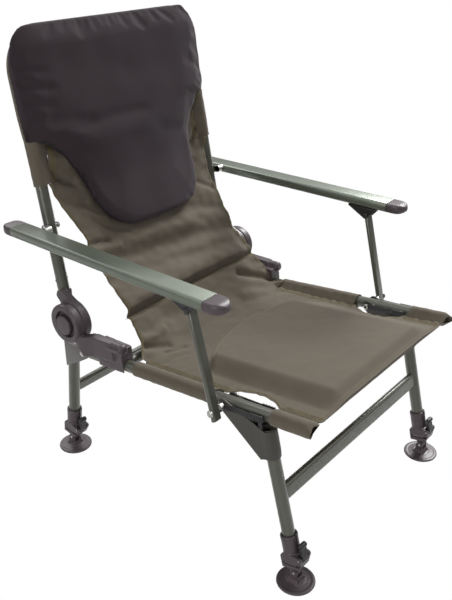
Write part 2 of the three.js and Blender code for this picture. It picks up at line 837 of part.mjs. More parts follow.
function hingeUpperSocket(side) {
  const tubeAt = (height) => [side * backTubeX(height), backSetback, height];
  const disc = plate(
    outlineRound([[0, 0, drum.radius]], round.discSides),
    ...across(side, drum.innerFrom, drum.innerTo),
  );
  const cone = bar(
    tubeAt(socket.low), tubeAt(socket.top), socket.lowRadius, round.tubeSides, socket.topRadius,
  );
  const fin = plate(outlineRound([
    [backSetback, socket.top - socket.topRadius / 2, socket.topRadius / 2],
    [backSetback - tube.radius, socket.finTop, socket.finEdge / 2],
    [socket.finFront, socket.finLow, socket.finEdge],
    [0, socket.low, socket.lowRadius],
  ]), ...across(side, socket.finFrom, socket.finTo));
  const bore = boltHole(
    [side * (halfGauge + drum.innerFrom - overrun), 0, 0],
    [side * (halfGauge + drum.innerTo + overrun), 0, 0]);
  const tubeBore = bar(
    tubeAt(backTube.low - 2 * seatGap), tubeAt(socket.finTop + overrun), tube.radius + seatGap,
  );
  return join([disc, cone, fin]).subtract(join([bore, tubeBore]));
}

function backrestTube(side) {
  const top = backHeight - bowRadius;
  const from = [side * backTubeX(backTube.low), backSetback, backTube.low];
  const to = [side * backTubeX(top), backSetback, top];
  const body = pipe(from, to, tube.radius, tube.wall);
  const x = side * backTubeX(armPinReach);
  const pinHole = boltHole(
    [x - side * (tube.radius + overrun), backSetback, armPinReach],
    [x + side * (tube.radius + overrun), backSetback, armPinReach]);
  const boltX = side * backTubeX(backTube.boltAt);
  const reach = tube.radius + backTube.boltStand;
  const crossBolt = bar(
    [boltX - reach, backSetback, backTube.boltAt], [boltX + reach, backSetback, backTube.boltAt],
    bolt.radius, round.boltSides,
  );
  return body.add(crossBolt).subtract(pinHole);
}

// The top bow: bend, straight, bend, with its ends run on below the bends or cut short
function bowSolid(radius, extra, count = round.tubeSides) {
  const top = backHeight - bowRadius;
  const half = backTubeX(top);
  const point = (x, z) => new THREE.Vector3(x, backSetback, z);
  const bend = [];
  for (let step = 0; step <= round.bendSteps; step += 1) {
    const angle = ((step / round.bendSteps) * Math.PI) / 2;
    bend.push([half - bowRadius + bowRadius * Math.cos(angle), top + bowRadius * Math.sin(angle)]);
  }
  const ends = extra > 0 ? bend : bend.slice(1);
  const right = [point(-half, top - extra), ...ends.map(([x, z]) => point(-x, z))];
  const left = [point(half, top - extra), ...ends.map(([x, z]) => point(x, z))];
  return sweep([...right, ...left.reverse()], radius, count);
}

// A round section carried up, over and down along points in one plane of constant Y
function sweep(points, radius, count) {
  const positions = [];
  const index = [];
  points.forEach((p, i) => {
    const before = points[Math.max(0, i - 1)];
    const after = points[Math.min(points.length - 1, i + 1)];
    const tangent = after.clone().sub(before).normalize();
    if (i === 0) tangent.set(0, 0, 1);
    if (i === points.length - 1) tangent.set(0, 0, -1);
    const out = new THREE.Vector3(-tangent.z, 0, tangent.x);
    for (let k = 0; k < count; k += 1) {
      const angle = (2 * Math.PI * k) / count;
      const ring = p.clone().addScaledVector(out, radius * Math.cos(angle));
      ring.y += radius * Math.sin(angle);
      positions.push(...ring.toArray());
    }
  });
  const ends = [positions.length / 3, positions.length / 3 + 1];
  positions.push(...points[0].toArray(), ...points[points.length - 1].toArray());
  for (let i = 0; i + 1 < points.length; i += 1) {
    for (let k = 0; k < count; k += 1) {
      const a = i * count + k;
      const b = i * count + ((k + 1) % count);
      index.push(a, a + count, b, b, a + count, b + count);
    }
  }
  const last = (points.length - 1) * count;
  for (let k = 0; k < count; k += 1) {
    const next = (k + 1) % count;
    index.push(ends[0], k, next, ends[1], last + next, last + k);
  }
  const geometry = new THREE.BufferGeometry();
  geometry.setAttribute('position', new THREE.Float32BufferAttribute(positions, 3));
  geometry.setIndex(index);
  const made = solid(geometry);
  return made.volume() > 0 ? made : solid(flipped(geometry));
}

function flipped(geometry) {
  const index = geometry.index.array;
  for (let i = 0; i < index.length; i += 3) [index[i], index[i + 1]] = [index[i + 1], index[i]];
  return geometry;
}

function backrestTopBow() {
  return bowSolid(tube.radius, -2 * seatGap).subtract(bowSolid(tube.radius - tube.wall, overrun));
}

// The free stretch of cloth from the rail sleeves up to the back sleeves, as shares of
// the way back and of the way up, and how much of its length belongs to the back
const lumbarShares = [
  [0, 0], [0.154, 0.085], [0.323, 0.2], [0.527, 0.415], [0.723, 0.64], [0.888, 0.82], [1, 1],
];
const lumbar = {
  seatShare: 0.63, // of its length that stays with the seat
  edgeShare: 0.125, // of the rest, where its ends lie square to the cloth they meet
  foldCount: 3,
  foldDepth: 4.5,
};
const lumbarGridCount = { across: 10, along: 18 };
const seatEdge = onRail(reclineReach - cloth.seatRear, 0);
const fromBack = ([y, z]) => {
  const [dy, dz] = turned([y, z], -leanDeg);
  return [recline.y + dy, recline.z + dz];
};
const toBack = ([y, z]) => turned([y - recline.y, z - recline.z], leanDeg);
const sleeveEdge = fromBack([backSetback - cover.webBack - cover.web / 2, cover.low]);
const lumbarLine = new THREE.CatmullRomCurve3(lumbarShares.map(([back, up]) => new THREE.Vector3(
  0,
  seatEdge.y + back * (sleeveEdge[0] - seatEdge.y),
  seatEdge.z + up * (sleeveEdge[1] - seatEdge.z),
)), false, 'centripetal');

// The same line seen from the back's frame, carried on up the tubes
const backStepCount = 24;
const backLine = [];
for (let step = 0; step <= backStepCount; step += 1) {
  const at = lumbarLine.getPointAt(lumbar.seatShare + (1 - lumbar.seatShare) * (step / backStepCount));
  backLine.push(toBack([at.y, at.z]));
}
backLine.push([backSetback - cover.webBack - cover.web / 2, backHeight]);

// Depth of the back cloth's middle at a height over the recline axis
function backDepth(height) {
  let i = 1;
  while (i < backLine.length - 1 && backLine[i][1] < height) i += 1;
  const [[y0, z0], [y1, z1]] = [backLine[i - 1], backLine[i]];
  return y0 + ((y1 - y0) * (height - z0)) / (z1 - z0);
}

function backClothHalf(height) {
  const onTubes = backTubeX(height) - tube.radius / 2;
  const flare = smooth((height - cover.low + bowRadius) / bowRadius);
  return cover.flareHalf + (onTubes - cover.flareHalf) * flare;
}

function lumbarFabric() {
  const reach = lumbarLine.getLength() * lumbar.seatShare;
  const stop = lumbar.seatShare - (2 * seatGap) / lumbarLine.getLength();
  const first = turned([0, 1], -railSlopeDeg);
  const last = turned([-1, 0], -leanDeg);
  const square = (v, along) => {
    const toFirst = smooth(1 - v / lumbar.edgeShare);
    const toLast = smooth(1 - (1 - v) / lumbar.edgeShare);
    const own = 1 - toFirst - toLast;
    return [
      first[0] * toFirst + last[0] * toLast - along.z * own,
      first[1] * toFirst + last[1] * toLast + along.y * own,
    ];
  };
  const place = (u, v, lift) => {
    const share = seatGap / reach + v * stop;
    const at = lumbarLine.getPointAt(share);
    const normal = square(v, lumbarLine.getTangentAt(share));
    const widen = smooth(1 - (v * reach) / bowRadius);
    const half = cover.flareHalf + (halfGauge - tube.radius - seatGap - cover.flareHalf) * widen;
    const fade = Math.sin(Math.PI * v) * (1 - (2 * u - 1) ** 4);
    const fold = lumbar.foldDepth * fade * Math.sin(2 * Math.PI * lumbar.foldCount * v + Math.PI * u);
    const out = fold + lift;
    return [(2 * u - 1) * half, at.y + normal[0] * out, at.z + normal[1] * out];
  };
  return quilted(
    (u, v) => place(u, v, cover.web / 2), (u, v) => place(u, v, -cover.web / 2),
    lumbarGridCount.across, lumbarGridCount.along,
  );
}

function sleeves(low, high, radius, count = round.tubeSides) {
  return join(sides.map(([, side]) => bar(
    [side * backTubeX(low), backSetback, low], [side * backTubeX(high), backSetback, high], radius,
    count,
  )));
}

// What the tubes, the bow and the armrest pins need to be clear of the cover
function frameRoom() {
  const top = backHeight - bowRadius;
  const count = round.clothSides;
  const clear = around(tube.radius + seatGap, count);
  return sleeves(backTube.low, top + seatGap, clear, count).add(bowSolid(clear, seatGap, count));
}

const coverGridCount = { across: 12, along: 11 };

function backPanel(low, high, front, back) {
  const surface = (thick) => (u, v) => {
    const z = low + (high - low) * v;
    return [(2 * u - 1) * backClothHalf(z), backDepth(z) + thick, z];
  };
  return quilted(surface(front), surface(back), coverGridCount.across / 2, coverGridCount.along);
}

function backrestFabric() {
  const low = backLine[0][1] + seatGap;
  const high = cover.blackLow - 3 * seatGap;
  const wall = tube.radius + seatGap + cover.wall;
  const panel = backPanel(low, high, -cover.web / 2, cover.web / 2);
  return panel.add(sleeves(cover.low, high, wall, round.clothSides)).subtract(frameRoom());
}

function tongueHalf(share) {
  let i = 1;
  while (i < tongueShares.length - 1 && tongueShares[i][0] < share) i += 1;
  const [[s0, h0], [s1, h1]] = [tongueShares[i - 1], tongueShares[i]];
  const t = Math.min(1, (share - s0) / (s1 - s0));
  return h0 + (h1 - h0) * t;
}

// The padded head cover: a hood over the bow and a cushion whose tongue runs down the back
function headCover() {
  const wall = tube.radius + seatGap + cover.padWall;
  const top = backHeight - bowRadius;
  const low = headPad.tongueLow;
  const crest = backHeight + wall - cover.wall;
  const half = halfGauge - backTaper;
  const place = (u, v) => {
    const z = low + (crest - low) * v;
    const corner = Math.max(0, z - top) / (crest - top);
    const narrowing = 1 - (bowRadius / half) * (1 - Math.sqrt(Math.max(0, 1 - corner ** 2)));
    const reach = half * tongueHalf(v) * narrowing;
    return { x: (2 * u - 1) * reach, z, reach };
  };
  const front = (u, v) => {
    const { x, z, reach } = place(u, v);
    const inX = smooth((reach - Math.abs(x)) / headPad.roll);
    const inZ = smooth((z - low) / headPad.roll) * smooth((crest - z) / headPad.roll);
    const skin = -cover.web / 2 - seatGap - headPad.edge;
    return [x, backDepth(z) + skin - headPad.rise * Math.min(inX, 1) * inZ, z];
  };
  const rear = (u, v) => {
    const { x, z } = place(u, v);
    return [x, backDepth(z) - cover.web / 2 - seatGap, z];
  };
  const cushion = quilted(front, rear, coverGridCount.across, coverGridCount.along);
  const hood = backPanel(cover.blackLow, backHeight, -cover.web, cover.web / 2);
  const count = round.clothSides;
  const tubeWraps = sleeves(cover.blackLow, top + seatGap, wall, count);
  const wraps = tubeWraps.add(bowSolid(wall, seatGap, count));
  return join([cushion, hood, wraps]).subtract(frameRoom());
}

// The rear armrest pin stands on a lug that is riveted to the outside of a back tube
const lug = { wall: 3.5, radius: 8 };

function armrestRearPin(side) {
  const tubeX = backTubeX(armPinReach);
  const armFace = armCentre - armrest.width / 2;
  const head = armFace + armrest.wall + armrest.corner * armrest.drawInShare;
  const start = tubeX - tube.radius - bolt.headHeight;
  const face = tubeX + tube.radius + seatGap;
  const stretch = (from, to, radius, y) => bar(
    [side * from, y, armPinReach], [side * to, y, armPinReach], radius, round.boltSides,
  );
  const plateX = [side * face, side * (face + lug.wall)].sort((a, b) => a - b);
  const body = plate(outlineRound([
    [backSetback, armPinReach, lug.radius], [armPinSetback, armPinReach, lug.radius],
  ]), ...plateX);
  return join([
    body,
    stretch(start, face + lug.wall + bolt.headHeight / 2, bolt.radius, backSetback),
    stretch(start, start + bolt.headHeight - seatGap, bolt.nutRadius, backSetback),
    stretch(face, head + bolt.headHeight, bolt.radius, armPinSetback),
    stretch(face, armFace - seatGap, pivotSpacer.radius, armPinSetback),
    stretch(head, head + bolt.headHeight, armrest.pinHead, armPinSetback),
  ]);
}

// Armrests: local frame on the front armrest pin, local Y along the armrest

const armrest = {
  width: 44,
  height: 20,
  corner: 6,
  wall: 1.8,
  low: 19.2, // underside over the front pin
  frontTip: 89, // from the front pin
  frontSeam: 49,
  rearSeam: 53.54, // from the rear pin
  rearTip: 92.54,
  capEdge: 5,
  pinHead: 4.8,
  drawInShare: 0.4, // the rounded wall draws in by this share of its corner radius
};
const bracket = { wall: 2.6, front: 24, rear: 44, drop: 7 };

function armSection(inset) {
  const half = armrest.width / 2 - armrest.corner;
  const up = armrest.height / 2 - armrest.corner;
  return outlineRound([
    [-half, -up, armrest.corner - inset], [half, -up, armrest.corner - inset],
    [-half, up, armrest.corner - inset], [half, up, armrest.corner - inset],
  ]);
}

// The section given length along the armrest
function alongArm(side, outline, from, to) {
  const shape = new THREE.Shape(outline.map(([x, z]) => new THREE.Vector2(x, z)));
  const geometry = new THREE.ExtrudeGeometry(shape, { depth: to - from, bevelEnabled: false });
  geometry.rotateX(Math.PI / 2);
  geometry.translate(side * armCentre, to, armrest.low + armrest.height / 2);
  return solid(geometry);
}

function armrestProfile(side) {
  const x = side * armCentre;
  const rear = armSpan[0] + armrest.rearSeam;
  const outer = alongArm(side, armSection(0), -armrest.frontSeam, rear);
  const inner = alongArm(
    side, armSection(armrest.wall), -armrest.frontSeam - overrun, rear + overrun,
  );
  const hole = boltHole([x - side * (armrest.width / 2 + overrun), ...armSpan], [x, ...armSpan]);
  return outer.subtract(inner).subtract(hole);
}

// A moulded end cap, half oval in plan with rolled edges
function armrestCap(side, end) {
  const seam = (end > 0 ? armSpan[0] + armrest.rearSeam : armrest.frontSeam) + seatGap;
  const tip = end > 0 ? armSpan[0] + armrest.rearTip : armrest.frontTip;
  const edge = armrest.capEdge;
  const half = armrest.width / 2 - edge;
  const length = tip - seam - edge;
  const shape = new THREE.Shape();
  shape.moveTo(-half, 0);
  shape.lineTo(-half, length / 3);
  shape.absellipse(0, length / 3, half, (2 * length) / 3, Math.PI, 0, true, 0);
  shape.lineTo(half, 0);
  const geometry = new THREE.ExtrudeGeometry(shape, {
    depth: armrest.height - 2 * edge,
    bevelEnabled: true,
    bevelThickness: edge,
    bevelSize: edge,
    bevelSegments: 3,
    curveSegments: round.boltSides / 2,
  });
  geometry.translate(0, seam, armrest.low + edge);
  if (end < 0) geometry.rotateZ(Math.PI);
  geometry.translate(side * armCentre, 0, 0);
  const x = side * armCentre;
  const low = end > 0 ? seam : -tip - overrun;
  const high = end > 0 ? tip + overrun : -seam;
  const keep = box(
    [x - armrest.width, low, 0], [x + armrest.width, high, armrest.low + 2 * armrest.height],
  );
  return solid(geometry).intersect(keep);
}

// The two-finned bracket under the armrest that takes the arm bar
function armrestBracket(side) {
  const x = side * linkCentre;
  const inside = linkBar.width / 2 + seatGap;
  const outside = inside + bracket.wall;
  const top = armrest.low - seatGap;
  const outline = outlineRound([
    [0, 0, bracket.drop], [-bracket.front, top, 0], [bracket.rear, top, 0],
    [-bracket.front, top - bracket.wall, 0], [bracket.rear, top - bracket.wall, 0],
  ]);
  const whole = plate(outline, x - outside, x + outside);
  const room = box(
    [x - inside, -bracket.front - overrun, -bracket.drop - overrun],
    [x + inside, bracket.rear + overrun, top - bracket.wall],
  );
  const hole = boltHole(
    [x - outside - overrun, 0, 0], [x + outside + overrun, 0, 0]);
  return whole.subtract(room).subtract(hole);
}

function armrestFrontPin(side) {
  const x = side * linkCentre;
  const reach = linkBar.width / 2 + seatGap + bracket.wall + seatGap;
  const headed = reach + bolt.headHeight / 2;
  return join([
    bar([x - headed, 0, 0], [x + headed, 0, 0], bolt.radius, round.boltSides),
    bar([x - headed, 0, 0], [x - reach, 0, 0], bolt.nutRadius, round.boltSides),
    bar([x + reach, 0, 0], [x + headed, 0, 0], bolt.nutRadius, round.boltSides),
  ]);
}

// The flattened tube between the front pivot and the armrest, local Z from pivot to pin
function armLink(side) {
  const x = side * linkCentre;
  const ends = (linkBar.width - linkBar.depth) / 2;
  const section = (inset) => {
    const flat = outlineRound([
      [-ends, 0, linkBar.depth / 2 - inset], [ends, 0, linkBar.depth / 2 - inset],
    ]);
    const shape = new THREE.Shape(flat.map(([a, b]) => new THREE.Vector2(a, b)));
    const past = inset > 0 ? overrun : 0;
    const depth = linkBar.toe + linkLength + linkBar.head + 2 * past;
    const geometry = new THREE.ExtrudeGeometry(shape, { depth, bevelEnabled: false });
    geometry.translate(x, 0, -linkBar.toe - past);
    return solid(geometry);
  };
  const holes = [0, linkLength].map((z) => boltHole(
    [x - linkBar.width, 0, z], [x + linkBar.width, 0, z]));
  return section(0).subtract(section(linkBar.wall)).subtract(join(holes));
}

// Assembly

const seatFrame = group(frontPivot.y, frontPivot.z, -railSlopeDeg);
const back = group(recline.y, recline.z, -leanDeg);
const armrests = group(frontArmPin.y, frontArmPin.z, -armTiltDeg);
const links = group(frontPivot.y, frontPivot.z, -linkLeanDeg);
const frontLegs = group(frontFoot.y, foot.pivotHeight, frontLeg.deg);
const rearLegs = group(rearFoot.y, foot.pivotHeight, rearLeg.deg);

seatFrame.add(node('seat_cross_tube', seatCrossTube(), 'frame_paint'));
seatFrame.add(node('seat_fabric', seatFabric(), 'olive_fabric'));
chair.add(node('lumbar_fabric', lumbarFabric(), 'olive_fabric'));
back.add(node('backrest_top_bow', backrestTopBow(), 'frame_paint'));
back.add(node('backrest_fabric', backrestFabric(), 'olive_fabric'));
back.add(node('head_pad', headCover(), 'pad_fabric'));
frontLegs.add(node('front_crossbar', crossbar(cross.frontAt, cross.frontHeight), 'frame_paint'));
rearLegs.add(node('rear_crossbar', crossbar(cross.rearAt, cross.rearHeight), 'frame_paint'));

for (const [hand, side] of sides) {
  seatFrame.add(node(`seat_rail_${hand}`, seatRail(side), 'frame_paint'));
  seatFrame.add(node(`hinge_lower_arm_${hand}`, hingeLowerArm(side), 'dark_plastic'));
  seatFrame.add(node(`hinge_bolt_${hand}`, hingeBoltBody(side), 'zinc_steel'));
  seatFrame.add(node(`front_pivot_bolt_${hand}`, frontPivotBolt(side), 'zinc_steel'));
  back.add(node(`hinge_upper_socket_${hand}`, hingeUpperSocket(side), 'dark_plastic'));
  back.add(node(`backrest_tube_${hand}`, backrestTube(side), 'frame_paint'));
  back.add(node(`armrest_rear_pin_${hand}`, armrestRearPin(side), 'zinc_steel'));
  armrests.add(node(`armrest_profile_${hand}`, armrestProfile(side), 'arm_aluminium'));
  armrests.add(node(`armrest_front_cap_${hand}`, armrestCap(side, -1), 'dark_plastic'));
  armrests.add(node(`armrest_rear_cap_${hand}`, armrestCap(side, 1), 'dark_plastic'));
  armrests.add(node(`armrest_bracket_${hand}`, armrestBracket(side), 'black_plastic'));
  armrests.add(node(`armrest_front_pin_${hand}`, armrestFrontPin(side), 'zinc_steel'));
  links.add(node(`arm_link_${hand}`, armLink(side), 'frame_paint'));
  frontLegs.add(node(`front_leg_bracket_${hand}`, frontLegBracket(side), 'dark_plastic'));
  frontLegs.add(node(`front_leg_clip_${hand}`, frontLegClip(side), 'black_plastic'));
  rearLegs.add(node(`rear_leg_bracket_${hand}`, rearLegBracket(side), 'bracket_steel'));
  for (const [end, legs, leg] of [['front', frontLegs, frontLeg], ['rear', rearLegs, rearLeg]]) {
    legs.add(node(`${end}_leg_tube_${hand}`, legTube(side, leg.length), 'frame_paint'));
    legs.add(node(`${end}_leg_lock_${hand}`, legLock(side), 'dark_plastic'));
    legs.add(node(`${end}_lock_lever_${hand}`, lockLever(side), 'black_plastic'));
    legs.add(node(`${end}_leg_extension_${hand}`, legExtension(side), 'frame_paint'));
    const disc = node(`${end}_foot_disc_${hand}`, footDisc(side), 'dark_plastic');
    disc.rotation.x = -legs.rotation.x;
    legs.add(disc);
  }
}

chair.add(seatFrame, back, armrests, links, frontLegs, rearLegs);

// The origin lies on the floor under the middle of the chair's overall box
chair.updateMatrixWorld(true);
const overall = new THREE.Box3().setFromObject(chair, true);
chair.position.y = -(overall.min.y + overall.max.y) / 2;

export default chair;
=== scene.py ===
# Carp fishing chair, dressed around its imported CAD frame
import math

import bmesh
import bpy
from mathutils import Matrix, Vector, noise
from mathutils.bvhtree import BVHTree


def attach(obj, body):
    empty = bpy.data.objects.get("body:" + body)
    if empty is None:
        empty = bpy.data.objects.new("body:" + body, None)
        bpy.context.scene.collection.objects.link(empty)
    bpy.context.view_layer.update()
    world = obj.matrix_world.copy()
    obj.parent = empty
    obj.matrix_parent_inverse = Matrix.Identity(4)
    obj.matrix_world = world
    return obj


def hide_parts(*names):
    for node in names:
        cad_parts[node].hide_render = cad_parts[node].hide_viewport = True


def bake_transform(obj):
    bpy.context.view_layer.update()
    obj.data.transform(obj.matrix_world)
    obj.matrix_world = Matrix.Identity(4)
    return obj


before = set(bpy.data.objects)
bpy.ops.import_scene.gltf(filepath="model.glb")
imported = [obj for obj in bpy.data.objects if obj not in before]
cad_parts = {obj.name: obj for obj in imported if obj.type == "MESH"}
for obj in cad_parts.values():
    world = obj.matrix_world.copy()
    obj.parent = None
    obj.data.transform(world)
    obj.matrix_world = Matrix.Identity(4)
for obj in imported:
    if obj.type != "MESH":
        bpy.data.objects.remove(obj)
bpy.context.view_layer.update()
print("frame loaded")

# Shapes are drawn in millimetres in the chair's own part spaces and put into metres at the end
millimetre = 0.001


def partSpace(y, z, tilt):
    place = Matrix.Translation((0, y, z)) @ Matrix.Rotation(math.radians(tilt), 4, "X")
    return place @ Matrix.Scale(millimetre, 4)


spaces = {
    "seat": partSpace(-0.184072, 0.3368, -7.06),  # from the front pivot, Y back along the rails
    "back": partSpace(0.230794, 0.363008, -11.03),  # from the recline axis, Z up the tubes
    "arms": partSpace(-0.133663, 0.527987, -0.8),  # from the front armrest pin
    "links": partSpace(-0.184072, 0.3368, -14.7708),
    "frontLegs": partSpace(-0.350072, 0.026, -14.6764),  # from the foot pivot, Z up the leg
    "rearLegs": partSpace(0.289928, 0.026, 7.2425),
    "frontFeet": partSpace(-0.350072, 0.026, 0),  # the feet stand level
    "rearFeet": partSpace(0.289928, 0.026, 0),
    "world": Matrix.Scale(millimetre, 4),
}
halfGauge = 250
linkOut = 290
armOut = 297
tubeRadius = 12.5
tubeBore = 12.8  # holes that take a tube
pinBore = 4.3
legLengths = {"front": 303.92, "rear": 241.93}
hands = (("right", -1), ("left", 1))
quarterTurn = [math.pi / 2 * step / 16 for step in range(17)]
slots = {
    "frameOlive": "frame_paint", "armAnodised": "arm_aluminium", "darkMoulded": "dark_plastic",
    "bracketMoulded": "dark_plastic", "blackMoulded": "black_plastic", "zincPlated": "zinc_steel",
    "stampedSteel": "bracket_steel",
}


# Shapes: each is (points, faces), and faces point outwards once a piece is made


def merged(*shapes):
    points, faces = [], []
    for shapePoints, shapeFaces in shapes:
        offset = len(points)
        points += shapePoints
        faces += [[i + offset for i in face] for face in shapeFaces]
    return points, faces


def moved(shape, x=0, y=0, z=0):
    return [(px + x, py + y, pz + z) for px, py, pz in shape[0]], shape[1]


def turns(count):
    return [2 * math.pi * step / count for step in range(count)]


# profile holds (distance along the axis, radius)
def lathe(profile, origin, axis, sides=40):
    along = Vector(axis).normalized()
    across = along.orthogonal().normalized()
    other = along.cross(across)
    points, faces, rings = [], [], []
    for distance, radius in profile:
        centre = Vector(origin) + along * distance
        first = len(points)
        if radius > 0:
            points += [tuple(centre + (across * math.cos(a) + other * math.sin(a)) * radius) for a in turns(sides)]
        else:
            points.append(tuple(centre))
        rings.append(list(range(first, len(points))))
    for low, high in zip(rings, rings[1:]):
        if len(low) == 1 and len(high) == 1:
            continue
        for step in range(sides):
            after = (step + 1) % sides
            if len(low) == 1:
                faces.append([low[0], high[after], high[step]])
            elif len(high) == 1:
                faces.append([low[step], low[after], high[0]])
            else:
                faces.append([low[step], low[after], high[after], high[step]])
    return points, faces + [ring for ring in (rings[0], rings[-1]) if len(ring) > 1]


# A round bar with chamfered ends
def rod(start, end, radius, edge=0.6, sides=40, endRadius=None):
    last = radius if endRadius is None else endRadius
    length = (Vector(end) - Vector(start)).length
    profile = [(0, radius - edge), (edge, radius), (length - edge, last), (length, last - edge)]
    return lathe(profile, start, Vector(end) - Vector(start), sides)


# A bar along x, which most bolts, pins and bores are
def crossRod(low, high, y, z, radius, **ways):
    return rod((low, y, z), (high, y, z), radius, **ways)


def hollowRod(start, end, radius, wall, sides=48):
    length = (Vector(end) - Vector(start)).length
    lip = wall / 3
    inside = radius - wall
    profile = [
        (0, radius - lip), (lip, radius), (length - lip, radius), (length, radius - lip),
        (length, inside + lip), (length - lip, inside), (lip, inside), (0, inside + lip),
    ]
    points, faces = lathe(profile + profile[:1], start, Vector(end) - Vector(start), sides)
    return points, faces[:-2]  # the profile closes on itself, so the two end discs go


# The tight outline round circles of (a, b, radius)
def hullOutline(circles, steps=24):
    spots = set()
    for a, b, radius in circles:
        for angle in turns(steps if radius > 0 else 1):
            spots.add((round(a + radius * math.cos(angle), 5), round(b + radius * math.sin(angle), 5)))
    spots = sorted(spots)

    def chain(ordered):
        kept = []
        for p in ordered:
            while len(kept) > 1:
                (ax, ay), (bx, by) = kept[-2:]
                if (bx - ax) * (p[1] - ay) - (by - ay) * (p[0] - ax) > 1e-6:
                    break
                kept.pop()
            kept.append(p)
        return kept[:-1]

    return chain(spots) + chain(spots[::-1])


# An outline of (a, b) given thickness along x, y or z; (a, b) are the other two axes in order
def prism(outline, axis, low, high):
    order = {"x": lambda a, b, t: (t, a, b), "y": lambda a, b, t: (a, t, b), "z": lambda a, b, t: (a, b, t)}[axis]
    count = len(outline)
    points = [order(a, b, t) for t in (low, high) for a, b in outline]
    faces = [[i, (i + 1) % count, count + (i + 1) % count, count + i] for i in range(count)]
    return points, faces + [list(range(count))[::-1], list(range(count, 2 * count))]


def block(low, high):
    (x0, y0, z0), (x1, y1, z1) = low, high
    return prism([(x0, y0), (x1, y0), (x1, y1), (x0, y1)], "z", z0, z1)


# Rings of equal length joined in order, with capped ends
def loft(rings):
    count = len(rings[0])
    points = [tuple(p) for ring in rings for p in ring]
    faces = []
    for r in range(len(rings) - 1):
        for i in range(count):
            j = (i + 1) % count
            faces.append([r * count + i, r * count + j, (r + 1) * count + j, (r + 1) * count + i])
    return points, faces + [list(range(count))[::-1], list(range(len(points) - count, len(points)))]


# Pieces: meshes at the origin with their place in their points


def newMesh(name, shape, space):
    mesh = bpy.data.meshes.new(name)
    mesh.from_pydata([tuple(p) for p in shape[0]], [], shape[1])
    work = bmesh.new()
    work.from_mesh(mesh)
    bmesh.ops.remove_doubles(work, verts=work.verts, dist=1e-4)
    bmesh.ops.recalc_face_normals(work, faces=work.faces)
    work.to_mesh(mesh)
    work.free()
    mesh.transform(space)
    return mesh


def addObject(name, data):
    made = bpy.data.objects.new(name, data)
    bpy.context.scene.collection.objects.link(made)
    return made


def modify(made, kind, **settings):
    change = made.modifiers.new(kind.lower(), kind)
    for setting, value in settings.items():
        setattr(change, setting, value)
    return change


# Puts the result of an object's modifiers into its own mesh
def bake(made):
    bpy.context.view_layer.update()
    graph = bpy.context.evaluated_depsgraph_get()
    mesh = bpy.data.meshes.new_from_object(made.evaluated_get(graph))
    old = made.data
    made.modifiers.clear()
    made.data = mesh
    mesh.name = made.name
    if old.users == 0:
        bpy.data.meshes.remove(old)


def combine(made, shape, space, operation="DIFFERENCE"):
    tool = addObject("tool", newMesh("tool", shape, spaces[space]))
    modify(made, "BOOLEAN", object=tool, operation=operation, solver="EXACT")
    bake(made)
    bpy.data.objects.remove(tool)


# Melts a piece's overlapping forms into one skin with soft edges
def moulded(made, voxel, rounds):
    modify(made, "REMESH", mode="VOXEL", voxel_size=voxel * millimetre, adaptivity=0)
    bake(made)
    if rounds:
        modify(made, "SMOOTH", factor=0.5, iterations=rounds)
        bake(made)


# Gives a made piece its rounded edges, its finish and its smooth shading
def finishPiece(made, finish, edge=0, smoothDeg=38):
    if edge:
        modify(
            made, "BEVEL", width=edge * millimetre, segments=2, limit_method="ANGLE", angle_limit=math.radians(32),
            harden_normals=False,
        )
        bake(made)
    made.data.materials.clear()
    made.data.materials.append(finish)
    made.data.shade_smooth()
    made.data.set_sharp_from_angle(angle=math.radians(smoothDeg))


def makePiece(name, shape, space, finish, edge=0, cuts=(), voxel=0, rounds=2, smoothDeg=38):
    made = addObject(name, newMesh(name, shape, spaces[space]))
    if voxel:
        moulded(made, voxel, 0)
    for cut in cuts:
        combine(made, cut, space)
    if voxel:
        moulded(made, voxel, rounds)
    finishPiece(made, finish, edge, 60 if voxel else smoothDeg)
    return made


# Hangs a finished piece on its body and stands it in for its CAD node
def settle(made, body, node=None, slotName=None):
    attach(made, body)
    slotName or slots[made.data.materials[-1].name]
    if node:
        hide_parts(node)


# The piece as made is the left one; the right one is its mirror image or its copy. A {hand} in the body's name
# is filled in
def settlePair(made, name, body, node=None, slotName=None, mirror=True):
    mesh = made.data.copy()
    if mirror:
        mesh.transform(Matrix.Scale(-1, 4, Vector((1, 0, 0))))
        mesh.flip_normals()
    else:
        mesh.transform(Matrix.Translation((-2 * halfGauge * millimetre, 0, 0)))
    other = addObject(name + "Right", mesh)
    made.name = name + "Left"
    for piece, hand in ((made, "left"), (other, "right")):
        settle(piece, body.format(hand=hand), node and f"{node}_{hand}", slotName)


def makePair(name, body, node, shape, space, finish, slotName=None, mirror=True, **ways):
    settlePair(makePiece(name, shape, space, finish, **ways), name, body, node, slotName, mirror)


# Node trees for shaders and for what repeats


def newTree(treeKind, name, inputs, outputs):
    tree = bpy.data.node_groups.new(name, treeKind)
    for label, value in inputs.items():
        kind = value if isinstance(value, str) else "Float"
        socket = tree.interface.new_socket(label, in_out="INPUT", socket_type="NodeSocket" + kind)
        if not isinstance(value, str):
            socket.default_value = value
    for label, kind in outputs.items():
        tree.interface.new_socket(label, in_out="OUTPUT", socket_type="NodeSocket" + kind)
    return tree, tree.nodes.new("NodeGroupInput").outputs, tree.nodes.new("NodeGroupOutput").inputs


# Links a node's sockets, or sets them where the value is plain
def fill(tree, node, inputs):
    for key, value in inputs.items():
        if isinstance(value, bpy.types.NodeSocket):
            tree.links.new(value, node.inputs[key])
        else:
            node.inputs[key].default_value = value
    return node


def add(tree, kind, inputs, **settings):
    node = tree.nodes.new(kind)
    for key, value in settings.items():
        setattr(node, key, value)
    return fill(tree, node, inputs)


